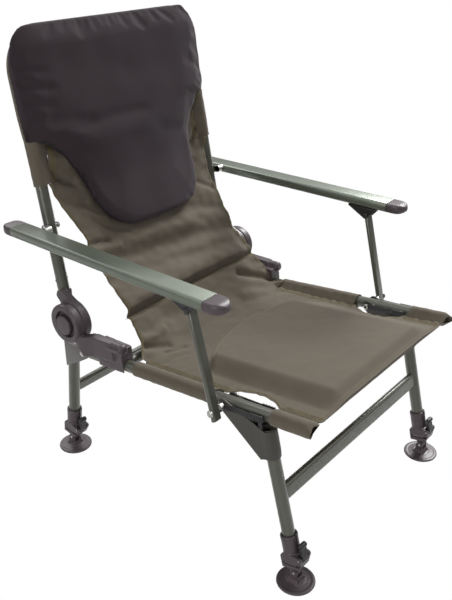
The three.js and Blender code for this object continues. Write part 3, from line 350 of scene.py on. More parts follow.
# Makes Math nodes in one tree: sums("ADD", a, b) gives the output of a new one
def mathsIn(tree):
    def sums(operation, a, b=None, c=None):
        values = {i: v for i, v in enumerate((a, b, c)) if v is not None}
        return add(tree, "ShaderNodeMath", values, operation=operation).outputs[0]

    return sums


def mixColours(tree, factor, a, b):
    return add(tree, "ShaderNodeMix", {0: factor, 6: a, 7: b}, data_type="RGBA").outputs[2]


def noiseIn(tree, vector, scale, detail):
    return add(tree, "ShaderNodeTexNoise", {"Vector": vector, "Scale": scale, "Detail": detail}).outputs["Fac"]


def ranged(tree, value, **ends):
    names = {"fromMin": "From Min", "fromMax": "From Max", "toMin": "To Min", "toMax": "To Max"}
    return add(tree, "ShaderNodeMapRange", {"Value": value, **{names[k]: v for k, v in ends.items()}}).outputs[0]


# Slow drift of tone over a surface, from two sizes of noise
driftGroup, given, result = newTree(
    "ShaderNodeTree", "toneDrift", {"Vector": "Vector", "Scale": 6.0, "Contrast": 1.0}, {"Factor": "Float"})
sums = mathsIn(driftGroup)
broad = noiseIn(driftGroup, given["Vector"], given["Scale"], 4.0)
fine = noiseIn(driftGroup, given["Vector"], sums("MULTIPLY", given["Scale"], 9.0), 3.0)
both = sums("MULTIPLY_ADD", fine, 0.35, sums("MULTIPLY", broad, 0.65))
spread = sums("MULTIPLY", sums("SUBTRACT", both, 0.5), given["Contrast"])
held = add(driftGroup, "ShaderNodeClamp", {"Value": sums("ADD", spread, 0.5)})
driftGroup.links.new(held.outputs[0], result["Factor"])

# Rubbed edges: where the surface turns sharply outwards, broken up by noise
rubGroup, given, result = newTree("ShaderNodeTree", "edgeRub", {"Vector": "Vector", "Amount": 0.5}, {"Mask": "Float"})
sums = mathsIn(rubGroup)
sharpness = add(rubGroup, "ShaderNodeNewGeometry", {}).outputs["Pointiness"]
turning = ranged(rubGroup, sharpness, fromMin=0.56, fromMax=0.72)
worn = sums("MULTIPLY", turning, noiseIn(rubGroup, given["Vector"], 160.0, 3.0))
rubGroup.links.new(sums("MULTIPLY", worn, given["Amount"]), result["Mask"])

# Fine grain of moulded plastic and powder coat
grainGroup, given, result = newTree(
    "ShaderNodeTree", "surfaceGrain", {"Vector": "Vector", "Scale": 900.0}, {"Height": "Float"})
sums = mathsIn(grainGroup)
pits = add(grainGroup, "ShaderNodeTexVoronoi", {"Vector": given["Vector"], "Scale": given["Scale"]})
orange = noiseIn(grainGroup, given["Vector"], sums("MULTIPLY", given["Scale"], 0.45), 2.0)
grainGroup.links.new(sums("MULTIPLY_ADD", pits.outputs["Distance"], 0.5, orange), result["Height"])

# Plain weave on a piece's own UV map, laid out in metres
weaveGroup, given, result = newTree(
    "ShaderNodeTree", "plainWeave", {"Vector": "Vector", "Threads": 900.0}, {"Height": "Float", "Tone": "Float"})
sums = mathsIn(weaveGroup)
thread = add(weaveGroup, "ShaderNodeVectorMath", {0: given["Vector"], "Scale": given["Threads"]}, operation="SCALE")
split = add(weaveGroup, "ShaderNodeSeparateXYZ", {0: thread.outputs[0]}).outputs
waves = []
for axis, other, turn in (("X", "Y", math.pi / 2), ("Y", "X", -math.pi / 2)):
    across = sums("ABSOLUTE", sums("SINE", sums("MULTIPLY", split[axis], math.pi)))
    phase = sums("MULTIPLY", sums("FLOOR", split[axis]), math.pi)
    angle = sums("MULTIPLY_ADD", split[other], math.pi, sums("ADD", phase, turn))
    waves.append(sums("MULTIPLY", across, sums("MULTIPLY_ADD", sums("SINE", angle), 0.5, 0.5)))
weaveGroup.links.new(sums("MAXIMUM", *waves), result["Height"])
weaveGroup.links.new(sums("GREATER_THAN", *waves), result["Tone"])

# The mask of a pale band along a seam line across the flat cloth, used as a painted highlight, within Reach of its
# middle:
# at Offset + Slope x + Rise sqrt(1 - ((x - Shift) / Half)^2)
seamHighlightGroup, given, result = newTree("ShaderNodeTree", "seamHighlightLine", {
    "Vector": "Vector", "Offset": 0.5, "Slope": 0.0, "Rise": 0.0, "Shift": 0.0, "Half": 1.0, "Reach": 1.0,
    "Width": 0.002,
}, {"Mask": "Float"})
sums = mathsIn(seamHighlightGroup)
split = add(seamHighlightGroup, "ShaderNodeSeparateXYZ", {0: given["Vector"]}).outputs
fromMiddle = sums("SUBTRACT", split["X"], given["Shift"])
part = sums("DIVIDE", fromMiddle, given["Half"])
left = sums("MAXIMUM", sums("SUBTRACT", 1.0, sums("MULTIPLY", part, part)), 0.0)
bow = sums("MULTIPLY", sums("SQRT", left), given["Rise"])
lean = sums("MULTIPLY_ADD", split["X"], given["Slope"], given["Offset"])
away = sums("ABSOLUTE", sums("SUBTRACT", split["Y"], sums("ADD", lean, bow)))
line = ranged(seamHighlightGroup, sums("DIVIDE", away, given["Width"]), fromMin=1.0, fromMax=0.35)
inReach = sums("SUBTRACT", given["Reach"], sums("ABSOLUTE", fromMiddle))
ends = ranged(seamHighlightGroup, inReach, fromMin=0.0, fromMax=0.02)
seamHighlightGroup.links.new(sums("MULTIPLY", line, ends), result["Mask"])


def newMaterial(name):
    made = bpy.data.materials.new(name)
    made.use_nodes = True
    return made, made.node_tree, made.node_tree.nodes["Principled BSDF"]


# A colour written as it looks on a screen, 0 to 255
def linear(colour):
    parts = [v / 255 for v in colour]
    return tuple(v / 12.92 if v <= 0.04045 else ((v + 0.055) / 1.055) ** 2.4 for v in parts) + (1.0,)


# Paint, plastic or metal. grain is its scale and depth, drift its scale and contrast, rub the wear on edges
def hardFinish(name, dark, light, rubbed, roughness, grain, drift, rub, metallic=0.0, coat=0.0):
    made, tree, shader = newMaterial(name)
    spot = add(tree, "ShaderNodeTexCoord", {}).outputs["Object"]
    tone = add(tree, "ShaderNodeGroup", {
        "Vector": spot, "Scale": drift[0], "Contrast": drift[1],
    }, node_tree=driftGroup).outputs[0]
    edge = add(tree, "ShaderNodeGroup", {"Vector": spot, "Amount": rub}, node_tree=rubGroup).outputs[0]
    surface = add(tree, "ShaderNodeGroup", {"Vector": spot, "Scale": grain[0]}, node_tree=grainGroup).outputs[0]
    base = mixColours(tree, tone, linear(dark), linear(light))
    bump = add(tree, "ShaderNodeBump", {"Height": surface, "Strength": grain[1], "Distance": 0.0002})
    fill(tree, shader, {
        "Base Color": mixColours(tree, edge, base, linear(rubbed)),
        "Roughness": ranged(tree, tone, toMin=roughness - 0.05, toMax=roughness + 0.07),
        "Metallic": metallic, "Coat Weight": coat, "Coat Roughness": 0.25, "Normal": bump.outputs["Normal"],
    })
    return made


# Woven cloth. seams are (highlight colour, strength, seamHighlightLine values), and each paints a pale band along a
# seam as a painted highlight. rim is a darker colour painted as shade where the rim attribute marks
def clothFinish(name, warp, weft, faded, threads, drift, sheen, roughness, depth, seams=(), rim=None):
    made, tree, shader = newMaterial(name)
    sums = mathsIn(tree)
    coordinates = add(tree, "ShaderNodeTexCoord", {}).outputs
    flat = coordinates["UV"]
    woven = add(tree, "ShaderNodeGroup", {"Vector": flat, "Threads": threads}, node_tree=weaveGroup).outputs
    tone = add(tree, "ShaderNodeGroup", {
        "Vector": coordinates["Object"], "Scale": drift[0], "Contrast": drift[1],
    }, node_tree=driftGroup).outputs[0]
    yarn = mixColours(tree, woven["Tone"], linear(warp), linear(weft))
    colour = mixColours(tree, sums("MULTIPLY", tone, 0.5), yarn, linear(faded))
    # painted highlight: each seam mixes a pale band into the colour
    for thread, strength, sizes in seams:
        paintedHighlight = add(tree, "ShaderNodeGroup", {"Vector": flat, **sizes}, node_tree=seamHighlightGroup).outputs["Mask"]
        colour = mixColours(tree, sums("MULTIPLY", paintedHighlight, strength), colour, linear(thread))
    # painted shade: a darker colour mixed in where the rim attribute marks
    if rim:
        edge = add(tree, "ShaderNodeAttribute", {}, attribute_name="rim")
        colour = mixColours(tree, edge.outputs["Fac"], colour, linear(rim))
    height = sums("MULTIPLY_ADD", noiseIn(tree, flat, 260.0, 3.0), 0.8, woven["Height"])
    bump = add(tree, "ShaderNodeBump", {"Height": height, "Strength": depth, "Distance": 0.0004})
    fill(tree, shader, {
        "Base Color": colour, "Roughness": ranged(tree, tone, toMin=roughness - 0.06, toMax=roughness + 0.08),
        "Sheen Weight": sheen, "Sheen Roughness": 0.45, "Specular IOR Level": 0.25, "Normal": bump.outputs["Normal"],
    })
    return made


frameOlive = hardFinish(
    "frameOlive", (82, 82, 72), (100, 100, 90), (118, 120, 108), 0.3,
    metallic=0.25, coat=0.6, grain=(1400, 0.1), drift=(7, 1.8), rub=0.0)
armAnodised = hardFinish(
    "armAnodised", (104, 111, 99), (124, 131, 118), (184, 188, 178), 0.32,
    metallic=0.5, coat=0.25, grain=(2200, 0.08), drift=(3, 2.0), rub=0.6)
darkMoulded = hardFinish(
    "darkMoulded", (72, 62, 66), (88, 77, 81), (122, 111, 116), 0.38, grain=(1100, 0.3), drift=(9, 1.8), rub=0.7)
bracketMoulded = hardFinish(
    "bracketMoulded", (66, 63, 57), (80, 76, 70), (114, 110, 102), 0.42, grain=(1100, 0.3), drift=(9, 1.8), rub=0.5)
blackMoulded = hardFinish(
    "blackMoulded", (34, 32, 33), (44, 42, 43), (76, 74, 74), 0.42, grain=(1100, 0.25), drift=(9, 1.5), rub=0.6)
zincPlated = hardFinish(
    "zincPlated", (176, 176, 174), (205, 204, 200), (232, 232, 230), 0.24,
    metallic=0.95, grain=(1600, 0.05), drift=(40, 1.5), rub=0.5)
stampedSteel = hardFinish(
    "stampedSteel", (104, 101, 99), (124, 121, 118), (170, 168, 165), 0.4,
    metallic=0.5, grain=(1200, 0.12), drift=(20, 1.8), rub=0.6)
paintedSeamHighlights = (
    # pale bands painted along the arch of the seat panel, the hip seam and the front hem: painted highlights
    ((176, 166, 136), 0.9, {
        "Offset": 0.1712, "Rise": 0.18, "Shift": 0.012, "Half": 0.24, "Reach": 0.172, "Width": 0.0042,
    }),
    ((156, 146, 116), 0.7, {"Offset": 0.5315, "Slope": 0.012, "Reach": 0.26, "Width": 0.0032}),
    ((128, 118, 98), 0.3, {"Offset": 0.0075, "Reach": 0.23, "Width": 0.0022}),
)
oliveCloth = clothFinish(
    "oliveCloth", (98, 91, 79), (108, 100, 87), (117, 108, 95), 750, (5, 2.2), 0.12, 0.8, 0.3, seams=paintedSeamHighlights)
# rim is painted shade for the cushion's turned lower edge
padCloth = clothFinish(
    "padCloth", (53, 45, 50), (59, 50, 55), (65, 54, 60), 900, (4, 1.8), 0.14, 0.88, 0.22, rim=(24, 20, 22))
threadYellow = clothFinish(
    "threadYellow", (150, 134, 62), (164, 148, 72), (140, 126, 70), 2600, (30, 1.5), 0.1, 0.7, 0.2)
threadPale = clothFinish(
    "threadPale", (150, 142, 118), (160, 152, 128), (140, 132, 110), 2600, (30, 1.5), 0.1, 0.7, 0.2)
print("finishes made")


# Ends a Geometry Nodes tree: its instances become real mesh and take the finish
def endTree(tree, given, result, instances):
    whole = add(tree, "GeometryNodeRealizeInstances", {"Geometry": instances}).outputs[0]
    dressed = add(tree, "GeometryNodeSetMaterial", {"Geometry": whole, "Material": given["Material"]})
    tree.links.new(dressed.outputs[0], result["Geometry"])


# Stitches along a curve: short raised threads, each pulled in at its ends
stitchTree, given, result = newTree("GeometryNodeTree", "stitchRun", {
    "Geometry": "Geometry", "Pitch": 0.0042, "Stitch Length": 0.0032, "Thread Radius": 0.0005, "Material": "Material",
}, {"Geometry": "Geometry"})
sums = mathsIn(stitchTree)
spots = add(stitchTree, "GeometryNodeCurveToPoints", {0: given["Geometry"], "Length": given["Pitch"]}, mode="LENGTH")
bead = add(stitchTree, "GeometryNodeMeshUVSphere", {"Segments": 6, "Rings": 4, "Radius": given["Thread Radius"]})
ratio = sums("DIVIDE", given["Stitch Length"], sums("MULTIPLY", given["Thread Radius"], 2.0))
stretch = add(stitchTree, "ShaderNodeCombineXYZ", {"X": 1.0, "Y": 1.0, "Z": ratio})
seam = add(stitchTree, "GeometryNodeInstanceOnPoints", {
    "Points": spots.outputs["Points"], "Instance": bead.outputs["Mesh"], "Rotation": spots.outputs["Rotation"],
    "Scale": stretch.outputs[0],
})
endTree(stitchTree, given, result, seam.outputs[0])

# Rivet and screw heads on the points of a mesh, facing along X
rivetTree, given, result = newTree("GeometryNodeTree", "rivetHeads", {
    "Geometry": "Geometry", "Head Radius": 0.005, "Head Height": 0.003, "Material": "Material",
}, {"Geometry": "Geometry"})
dome = add(rivetTree, "GeometryNodeMeshUVSphere", {"Segments": 20, "Rings": 12, "Radius": given["Head Radius"]})
flat = mathsIn(rivetTree)("DIVIDE", given["Head Height"], given["Head Radius"])
squeeze = add(rivetTree, "ShaderNodeCombineXYZ", {"X": flat, "Y": 1.0, "Z": 1.0})
domes = add(rivetTree, "GeometryNodeInstanceOnPoints", {
    "Points": given["Geometry"], "Instance": dome.outputs["Mesh"], "Scale": squeeze.outputs[0],
})
endTree(rivetTree, given, result, domes.outputs[0])


# Runs a tree on new geometry and keeps its result as a plain mesh
def runTree(name, data, tree, values):
    made = addObject(name, data)
    change = modify(made, "NODES", node_group=tree)
    for item in tree.interface.items_tree:
        if item.item_type == "SOCKET" and item.in_out == "INPUT" and item.name in values:
            change[item.identifier] = values[item.name]
    bpy.context.view_layer.update()
    graph = bpy.context.evaluated_depsgraph_get()
    mesh = bpy.data.meshes.new_from_object(made.evaluated_get(graph))
    bpy.data.objects.remove(made)
    mesh.name = name
    mesh.shade_smooth()
    return addObject(name, mesh)


# runs are lists of points in metres; each becomes one line of stitching
def stitches(name, runs, thread, pitch, length, radius):
    curve = bpy.data.curves.new(name, "CURVE")
    curve.dimensions = "3D"
    for run in runs:
        line = curve.splines.new("POLY")
        line.points.add(len(run) - 1)
        for spot, p in zip(line.points, run):
            spot.co = (*p, 1.0)
    return runTree(name, curve, stitchTree, {
        "Pitch": pitch * millimetre, "Stitch Length": length * millimetre, "Thread Radius": radius * millimetre,
        "Material": thread,
    })


def heads(name, spots, finish, radius, height):
    mesh = bpy.data.meshes.new(name)
    mesh.from_pydata([tuple(p) for p in spots], [], [])
    return runTree(name, mesh, rivetTree, {
        "Head Radius": radius * millimetre, "Head Height": height * millimetre, "Material": finish,
    })


# Tubes and bars of the frame
tubeStock = {
    "wall": 1.5, "seatFront": -176, "seatRear": 444, "crossAt": 281, "crossHalf": 234.2, "crossRadius": 11,
    "back": 30, "low": 36, "top": 498, "bend": 70, "leanIn": 10, "backLength": 568, "studAt": 84,
}
linkSizes = {"length": 197.72, "half": 6, "radius": 5, "inner": 3.4}
legBars = {"front": {"at": 167, "height": 34}, "rear": {"at": 145, "height": 28}}


# The back tubes lean inwards, so where one is depends on the height
def backTubeX(height):
    return halfGauge - tubeStock["leanIn"] * height / tubeStock["backLength"]


def backTube(height):
    return backTubeX(height), tubeStock["back"], height


def tubeWork():
    size = tubeStock
    wall = size["wall"]
    rail = hollowRod((halfGauge, size["seatFront"], 0), (halfGauge, size["seatRear"], 0), tubeRadius, wall)
    makePair("seatRail", "seat_frame", "seat_rail", rail, "seat", frameOlive)
    half, at = size["crossHalf"], size["crossAt"]
    cross = hollowRod((-half, at, 0), (half, at, 0), size["crossRadius"], wall)
    settle(makePiece("seatCrossTube", cross, "seat", frameOlive), "seat_frame", "seat_cross_tube")
    x, y, z = backTube(size["studAt"])
    upright = merged(
        hollowRod(backTube(size["low"]), backTube(size["top"]), tubeRadius, wall),
        crossRod(x - 14.5, x + 14.5, y, z, 4, edge=1.2, sides=20),
    )
    makePair("backTube", "backrest", "backrest_tube", upright, "back", frameOlive)
    topBow()
    for end, space in legBodies:
        body = f"{end}_legs"
        leg = hollowRod((halfGauge, 0, size["low"]), (halfGauge, 0, legLengths[end]), tubeRadius, wall)
        makePair(end + "LegTube", body, end + "_leg_tube", leg, space, frameOlive)
        at, half = legBars[end]["at"], (legBars[end]["height"] - 15) / 2
        oval = hullOutline([(0, at - half, 7.5), (0, at + half, 7.5)], 40)
        run = [[(x, y, z) for y, z in oval] for x in (-halfGauge + 4, -halfGauge + 22, halfGauge - 22, halfGauge - 4)]
        bar = makePiece(end + "Crossbar", loft(run), space, frameOlive, cuts=[
            prism(hullOutline([(0, at - half, 6), (0, at + half, 6)], 40), "x", -260, 260),
            *[rod((x, 0, at - 60), (x, 0, at + 60), tubeRadius + 0.25, sides=64) for x in (-halfGauge, halfGauge)],
        ])
        settle(bar, body, end + "_crossbar")
    half, length = linkSizes["half"], linkSizes["length"]
    flat, inner = (
        hullOutline([(linkOut - half, 0, linkSizes[key]), (linkOut + half, 0, linkSizes[key])], 40)
        for key in ("radius", "inner")
    )
    bar = prism(flat, "z", -17, length + 10)
    makePair("armBar", "arm_bar_{hand}", "arm_link", bar, "links", frameOlive, edge=0.7, cuts=[
        prism(inner, "z", -30, length + 20),
        *[crossRod(linkOut - 20, linkOut + 20, 0, z, pinBore, sides=24) for z in (0, length)],
    ])


def topBow():
    back, top, bend = tubeStock["back"], tubeStock["top"], tubeStock["bend"]
    half = backTubeX(top)
    path = [(half, top + 0.6)]
    path += [(half - bend + bend * math.cos(angle), top + bend * math.sin(angle)) for angle in quarterTurn[1:]]
    path += [(-x, z) for x, z in path[::-1]]
    rings = []
    for spot, (x, z) in enumerate(path):
        if 0 < spot < len(path) - 1:
            along = (Vector(path[spot + 1]) - Vector(path[spot - 1])).normalized()
        else:
            along = Vector((0, 1 if spot == 0 else -1))
        ring = [(tubeRadius * math.cos(angle), tubeRadius * math.sin(angle)) for angle in turns(40)]
        rings.append([(x + along.y * out, back + rise, z - along.x * out) for out, rise in ring])
    settle(makePiece("topBow", loft(rings), "back", frameOlive), "backrest", "backrest_top_bow")


# The recline hinge: a saddle on the rail that carries the outer disc, and a socket with the inner disc
hinge = {"y": 408.5, "z": 77, "disc": 43, "voxel": 1.25}


def hingeParts():
    x, y, z, disc, voxel = halfGauge, hinge["y"], hinge["z"], hinge["disc"], hinge["voxel"]
    outwards = (1, 0, 0)
    skirt = [(268, -10.5), (344, -10.5), (344, 45), (268, 40)]
    # the arm from the block up to the disc, as (y, z low, z high, x inner, x outer)
    stations = (
        (290, 12, 53, x, x + 20), (345, 12, 56, x + 2, x + 24), (372, 10, 54, x + 12, x + 33),
        (y - 12, z - 20, z + 24, x + 20, x + 37),
    )
    neck = [
        [(inner, at, low), (outer, at, low), (outer, at, high), (inner, at, high)]
        for at, low, high, inner, outer in stations
    ]
    shape = merged(
        rod((x + 10, 261, 40), (x + 10, 362, 45), 12, edge=5),
        prism(skirt, "x", x - 15.5, x + 15.5),
        loft(neck),
        lathe([(20, disc - 1), (21, disc), (35.5, disc), (39, disc - 1.6), (40, disc - 4)], (x, y, z), outwards, 72),
    )
    makePair("hingeSaddle", "seat_frame", "hinge_lower_arm", shape, "seat", darkMoulded, voxel=voxel, rounds=3, cuts=[
        rod((x, 150, 0), (x, 460, 0), tubeBore, sides=64),
        block((x - tubeBore, 240, -30), (x + tubeBore, 360, 0)),
        lathe([(30, 28), (31.5, 29.6), (60, 30.4)], (x, y - 5, z + 2), outwards, 64),
        crossRod(x + 10, x + 30.3, y, z, pinBore, sides=24),
        # slot between the skirt's two halves
        block((x + 13.6, 292, 3), (x + 30, 330, 5)),
    ])
    # raised boss and ring inside the recess of the outer disc
    profile = [(29.5, 0), (29.5, 22), (37.8, 22), (39.4, 20.5), (39.8, 18), (39.8, 0)]
    ring = lathe(profile, (x, y + 5, z - 4), outwards, 56)
    makePair("hingeRing", "seat_frame", None, ring, "seat", darkMoulded, edge=0.4)
    bolt = merged(
        crossRod(x - 1.6, x + 30, y, z, 4, sides=24),
        lathe([(-3.8, 5.5), (-3.5, 7.6), (-2.6, 8.8), (-1.3, 9)], (x, y, z), outwards, 36),
    )
    makePair("hingeBolt", "seat_frame", "hinge_bolt", bolt, "seat", zincPlated)
    fin = [(30, 52, 8), (17.5, 66, 1.5), (-22, 33, 3), (0, 20, 12)]
    socket = merged(
        lathe([(-1, disc - 2.5), (0.6, disc), (17.9, disc), (19.5, disc - 1)], (x, 0, 0), outwards, 72),
        rod(backTube(20), backTube(60), 12, edge=2, endRadius=16),
        prism(hullOutline(fin), "x", x + 2, x + 16),
    )
    makePair(
        "hingeSocket", "backrest", "hinge_upper_socket", socket, "back", darkMoulded, voxel=voxel, rounds=3, cuts=[
            crossRod(x - 20, x + 40, 0, 0, pinBore, sides=24),
            rod(backTube(35.4), backTube(80), tubeBore, sides=64),
            lathe([(-10, 34), (0.4, 33), (2.4, 31)], (x, 0, 0), outwards, 64),
        ])


# Bolts and pins
boltSizes = {"shank": 4, "head": 7, "nut": 6.5, "spacer": 8, "rearPinY": 12.9, "rearPinZ": 197.3}


# Pan head that stands outwards along X from x
def boltHead(x, y, z, radius, height):
    shares = [(0, 0), (0, 1), (0.35, 1), (0.8, 0.8), (1, 0.45), (1, 0)]
    return lathe([(height * a, radius * b) for a, b in shares], (x, y, z), (1, 0, 0), 36)


def hexNut(x, y, z, radius, height):
    return prism([(y + radius * math.cos(a), z + radius * math.sin(a)) for a in turns(6)], "x", x, x + height)


def boltsAndPins():
    x, shank, spacer = halfGauge, boltSizes["shank"], boltSizes["spacer"]
    pivot = merged(
        crossRod(x - 24.5, x + 51.3, 0, 0, shank, sides=24),
        hexNut(x - 24.5, 0, 0, boltSizes["nut"], 5),
        crossRod(x + 19.5, x + 28.7, 0, 0, spacer, edge=0.5, sides=36),
        boltHead(x + 51.3, 0, 0, boltSizes["head"], 4),
    )
    makePair("frontPivotBolt", "seat_frame", "front_pivot_bolt", pivot, "seat", zincPlated, edge=0.35)
    tubeX, y, z = backTube(boltSizes["rearPinZ"])
    face, armFace, pinY = tubeX + tubeRadius + 0.3, armOut - armSizes["half"], boltSizes["rearPinY"]
    lug = merged(
        prism(hullOutline([(y, z, 8), (pinY, z, 8)], 40), "x", face, face + 3.5),
        crossRod(face - 31, face + 5.5, y, z, shank, sides=24),
        boltHead(face + 3.5, y, z, 6.5, 2.4),
        crossRod(face - 33.1, face - 29.4, y, z, 6.5, sides=24),
        crossRod(face, armFace + 4, pinY, z, shank, sides=24),
        crossRod(face, armFace - 0.3, pinY, z, spacer, edge=0.5, sides=36),
        boltHead(armFace + 4.2, pinY, z, 4.8, 4),
    )
    makePair("armrestRearPin", "backrest", "armrest_rear_pin", lug, "back", zincPlated, edge=0.3)
    pin = crossRod(linkOut - 15, linkOut + 15, 0, 0, shank, sides=24)
    makePair("armrestFrontPin", "armrest_{hand}", "armrest_front_pin", pin, "arms", zincPlated)
    for hand, side in hands:
        spots = [spaces["arms"] @ Vector((side * linkOut + out, 0, 0)) for out in (-14.3, 14.3)]
        settle(heads("frontPinHeads" + hand.capitalize(), spots, blackMoulded, 6.5, 1.9), f"armrest_{hand}")
    spots = [spaces["seat"] @ Vector((side * (x + 15.6), 319, 31)) for _, side in hands]
    settle(heads("saddleScrews", spots, zincPlated, 5, 1.4), "seat_frame")
    spots = [
        spaces["rearLegs"] @ Vector((side * x + out, rearBracket["y"], rearBracket["z"]))
        for _, side in hands for out in (-14.8, 14.8)
    ]
    settle(heads("strapRivets", spots, zincPlated, 7, 1.8), "rear_legs", slotName="bracket_steel")


# Armrests: profile, caps and bracket
armSizes = {"half": 22, "rise": 10, "corner": 6, "middle": 29.2, "front": -49, "rear": 468, "groove": 24.6}
armCaps = (("Front", 49.3, 89, -1), ("Rear", 468.3, 507, 1))


def armSection(inset):
    across, up, corner = (armSizes[key] for key in ("half", "rise", "corner"))
    return hullOutline([
        (armOut + a * (across - corner), armSizes["middle"] + b * (up - corner), corner - inset)
        for a in (-1, 1) for b in (-1, 1)
    ], 32)


# A cap is half oval in plan and rolled at its edge, so its section shrinks both ways towards the tip
def capRing(share, y):
    half, high = armSizes["half"], armSizes["rise"]
    plan = 1.0 if share < 0.3 else math.sqrt(max(0.0, 1 - ((share - 0.3) / 0.7) ** 2))
    rise = 1.0 if share < 0.6 else math.sqrt(max(0.02, 1 - ((share - 0.6) / 0.42) ** 2))
    across, up = half * max(plan, 0.05), high * rise
    corner = min(armSizes["corner"], across, up)
    ring = []
    for quarter, (u, v) in enumerate(((1, 1), (-1, 1), (-1, -1), (1, -1))):
        for k in range(9):
            angle = math.pi / 2 * (quarter + k / 8)
            outwards = armOut + u * (across - corner) + corner * math.cos(angle)
            ring.append((outwards, y, armSizes["middle"] + v * (up - corner) + corner * math.sin(angle)))
    return ring


def armrests():
    size = armSizes
    body = "armrest_{hand}"
    # shallow grooves along the sides, as an extrusion has
    low, high = size["groove"] - 0.8, size["groove"] + 0.8
    grooves = [
        block((wall - 0.7, size["front"] - 5, low), (wall + 0.7, size["rear"] + 5, high))
        for wall in (armOut - size["half"], armOut + size["half"])
    ]
    profile = prism(armSection(0), "y", size["front"], size["rear"])
    makePair("armrestProfile", body, "armrest_profile", profile, "arms", armAnodised, edge=0.25, cuts=[
        prism(armSection(1.8), "y", size["front"] - 9, size["rear"] + 9),
        *grooves,
    ])
    for end, seam, tip, sign in armCaps:
        shares = [math.sin(angle) for angle in quarterTurn]
        cap = loft([capRing(share, sign * (seam + (tip - seam) * share)) for share in shares])
        node = f"armrest_{end.lower()}_cap"
        makePair(f"armrest{end}Cap", body, node, cap, "arms", darkMoulded, edge=0.4, smoothDeg=30)
    outline = hullOutline([(0, 0, 7), (-24, 18.9, 0), (44, 18.9, 0), (-24, 16.3, 0), (44, 16.3, 0)], 32)
    bracket = prism(outline, "x", linkOut - 13.9, linkOut + 13.9)
    makePair("armrestBracket", body, "armrest_bracket", bracket, "arms", blackMoulded, edge=0.6, cuts=[
        block((linkOut - 11.3, -40, -20), (linkOut + 11.3, 60, 16.3)),
        crossRod(linkOut - 30, linkOut + 30, 0, 0, pinBore, sides=24),
    ])


# Locks, levers, inner tubes and feet: four alike, so each is made once and copied
lockSizes = {"half": 17, "voxel": 1.0, "leverY": -25, "leverZ": 40}
footSizes = {"disc": 37.5, "hub": 15, "base": -26, "voxel": 0.95}
legBodies = (("front", "frontLegs"), ("rear", "rearLegs"))


def legEnds():
    x = halfGauge
    half, axisY, axisZ = lockSizes["half"], lockSizes["leverY"], lockSizes["leverZ"]
    collar = [(14, 14.5), (16, 16.5), (76, 16.5), (78, 16.9), (83.5, 16.9), (85, 15.6)]
    cheeks = [(axisY, axisZ, 5.5), (-19, 19.5, 2.75), (14.25, 19.5, 2.75), (14.25, 41.5, 2.75), (0, 47, 2.75)]
    lock = merged(lathe(collar, (x, 0, 0), (0, 0, 1), 56), prism(hullOutline(cheeks), "x", x - half, x + half))
    leverRoom = hullOutline([(axisY, axisZ, 5.9), (-36, 40, 5.9), (-27, 68, 5.9)])
    lockCuts = [
        rod((x, 0, 35.7), (x, 0, 95), tubeBore, sides=64),
        rod((x, 0, 5), (x, 0, 45), 10.6, sides=64),
        prism(leverRoom, "x", x - 10.4, x + 10.4),
        crossRod(x - 30, x + 30, axisY, axisZ, 2.1, sides=20),
        block((x - 25, -38, 24.5), (x - 12, 12, 29.5)),
        # the collar's slit, so that the lever can draw it shut
        block((x - 1.2, -20, 50), (x + 1.2, -10, 95)),
    ]
    # the pinch plate that shows in the slot
    plate = block((x - 15.2, -16, 25.2), (x - 11.6, 11, 28.8))
    lever = merged(
        prism(hullOutline([(axisY, axisZ, 5.2), (-28, 42, 2.5), (-27.4, 66, 2.2)]), "x", x - 9, x + 9),
        crossRod(x - 9, x + 9, -28, 66, 5.4, edge=1.6, sides=36),
    )
    leverPin = crossRod(x - half, x + half, axisY, axisZ, 1.8, edge=0.3, sides=20)
    stem = merged(
        hollowRod((x, 0, 11), (x, 0, 200), 10.2, tubeStock["wall"]),
        rod((x, 0, 9.3), (x, 0, 19), 9.9),
    )
    tongue = prism(hullOutline([(0, 0, 7.5), (0, 12, 7.5)], 36), "x", x - 5.5, x + 5.5)
    tongueCuts = [crossRod(x - 20, x + 20, 0, 0, 3.3, sides=20)]
    footPin = crossRod(x - 11.3, x + 11.3, 0, 0, 3, edge=0.5, sides=24)
    alike = {"mirror": False}
    for end, space in legBodies:
        body, moving, turning = f"{end}_legs", end + "_extension_{hand}", end + "_lever_{hand}"
        makePair(
            end + "LegLock", body, end + "_leg_lock", lock, space, darkMoulded,
            voxel=lockSizes["voxel"], cuts=lockCuts, **alike)
        makePair(end + "PinchPlate", body, None, plate, space, stampedSteel, edge=0.4, **alike)
        makePair(end + "LockLever", turning, end + "_lock_lever", lever, space, blackMoulded, voxel=0.8, **alike)
        makePair(end + "LeverPin", turning, None, leverPin, space, zincPlated, **alike)
        makePair(end + "InnerTube", moving, end + "_leg_extension", stem, space, frameOlive, **alike)
        makePair(end + "FootTongue", moving, None, tongue, space, darkMoulded, edge=0.9, cuts=tongueCuts, **alike)
        standing, space = end + "_foot_{hand}", end + "Feet"
        makePair(
            end + "FootDisc", standing, end + "_foot_disc", footShape(), space, darkMoulded,
            voxel=footSizes["voxel"], **alike)
        makePair(end + "FootPin", standing, None, footPin, space, zincPlated, **alike)


def footShape():
    x = halfGauge
    disc, hub, base = footSizes["disc"], footSizes["hub"], footSizes["base"]
    dish = lathe([
        (0, 0), (0, disc - 0.9), (0.9, disc), (3, disc), (3.9, disc - 0.7), (4.4, disc - 2.4), (4.9, 31), (4.2, 30),
        (5.6, 20), (6.6, 17), (6.6, 0),
    ], (x, 0, base), (0, 0, 1), 80)
    # square boss under the joint, with sloping sides
    boss = loft([
        [(x + u * (hub - 1.5 - run), v * (hub - 3 - run), base + up) for u, v in ((-1, -1), (1, -1), (1, 1), (-1, 1))]
        for up, run in ((4, 0), (10, 0.6), (14.6, 3.6))
    ])
    ear = hullOutline([(0, 0, 8.5), (-6, -13.5, 2.5), (6, -13.5, 2.5)], 32)
    return merged(dish, boss, *[prism(ear, "x", x + low, x + high) for low, high in ((-10.9, -5.9), (5.9, 10.9))])


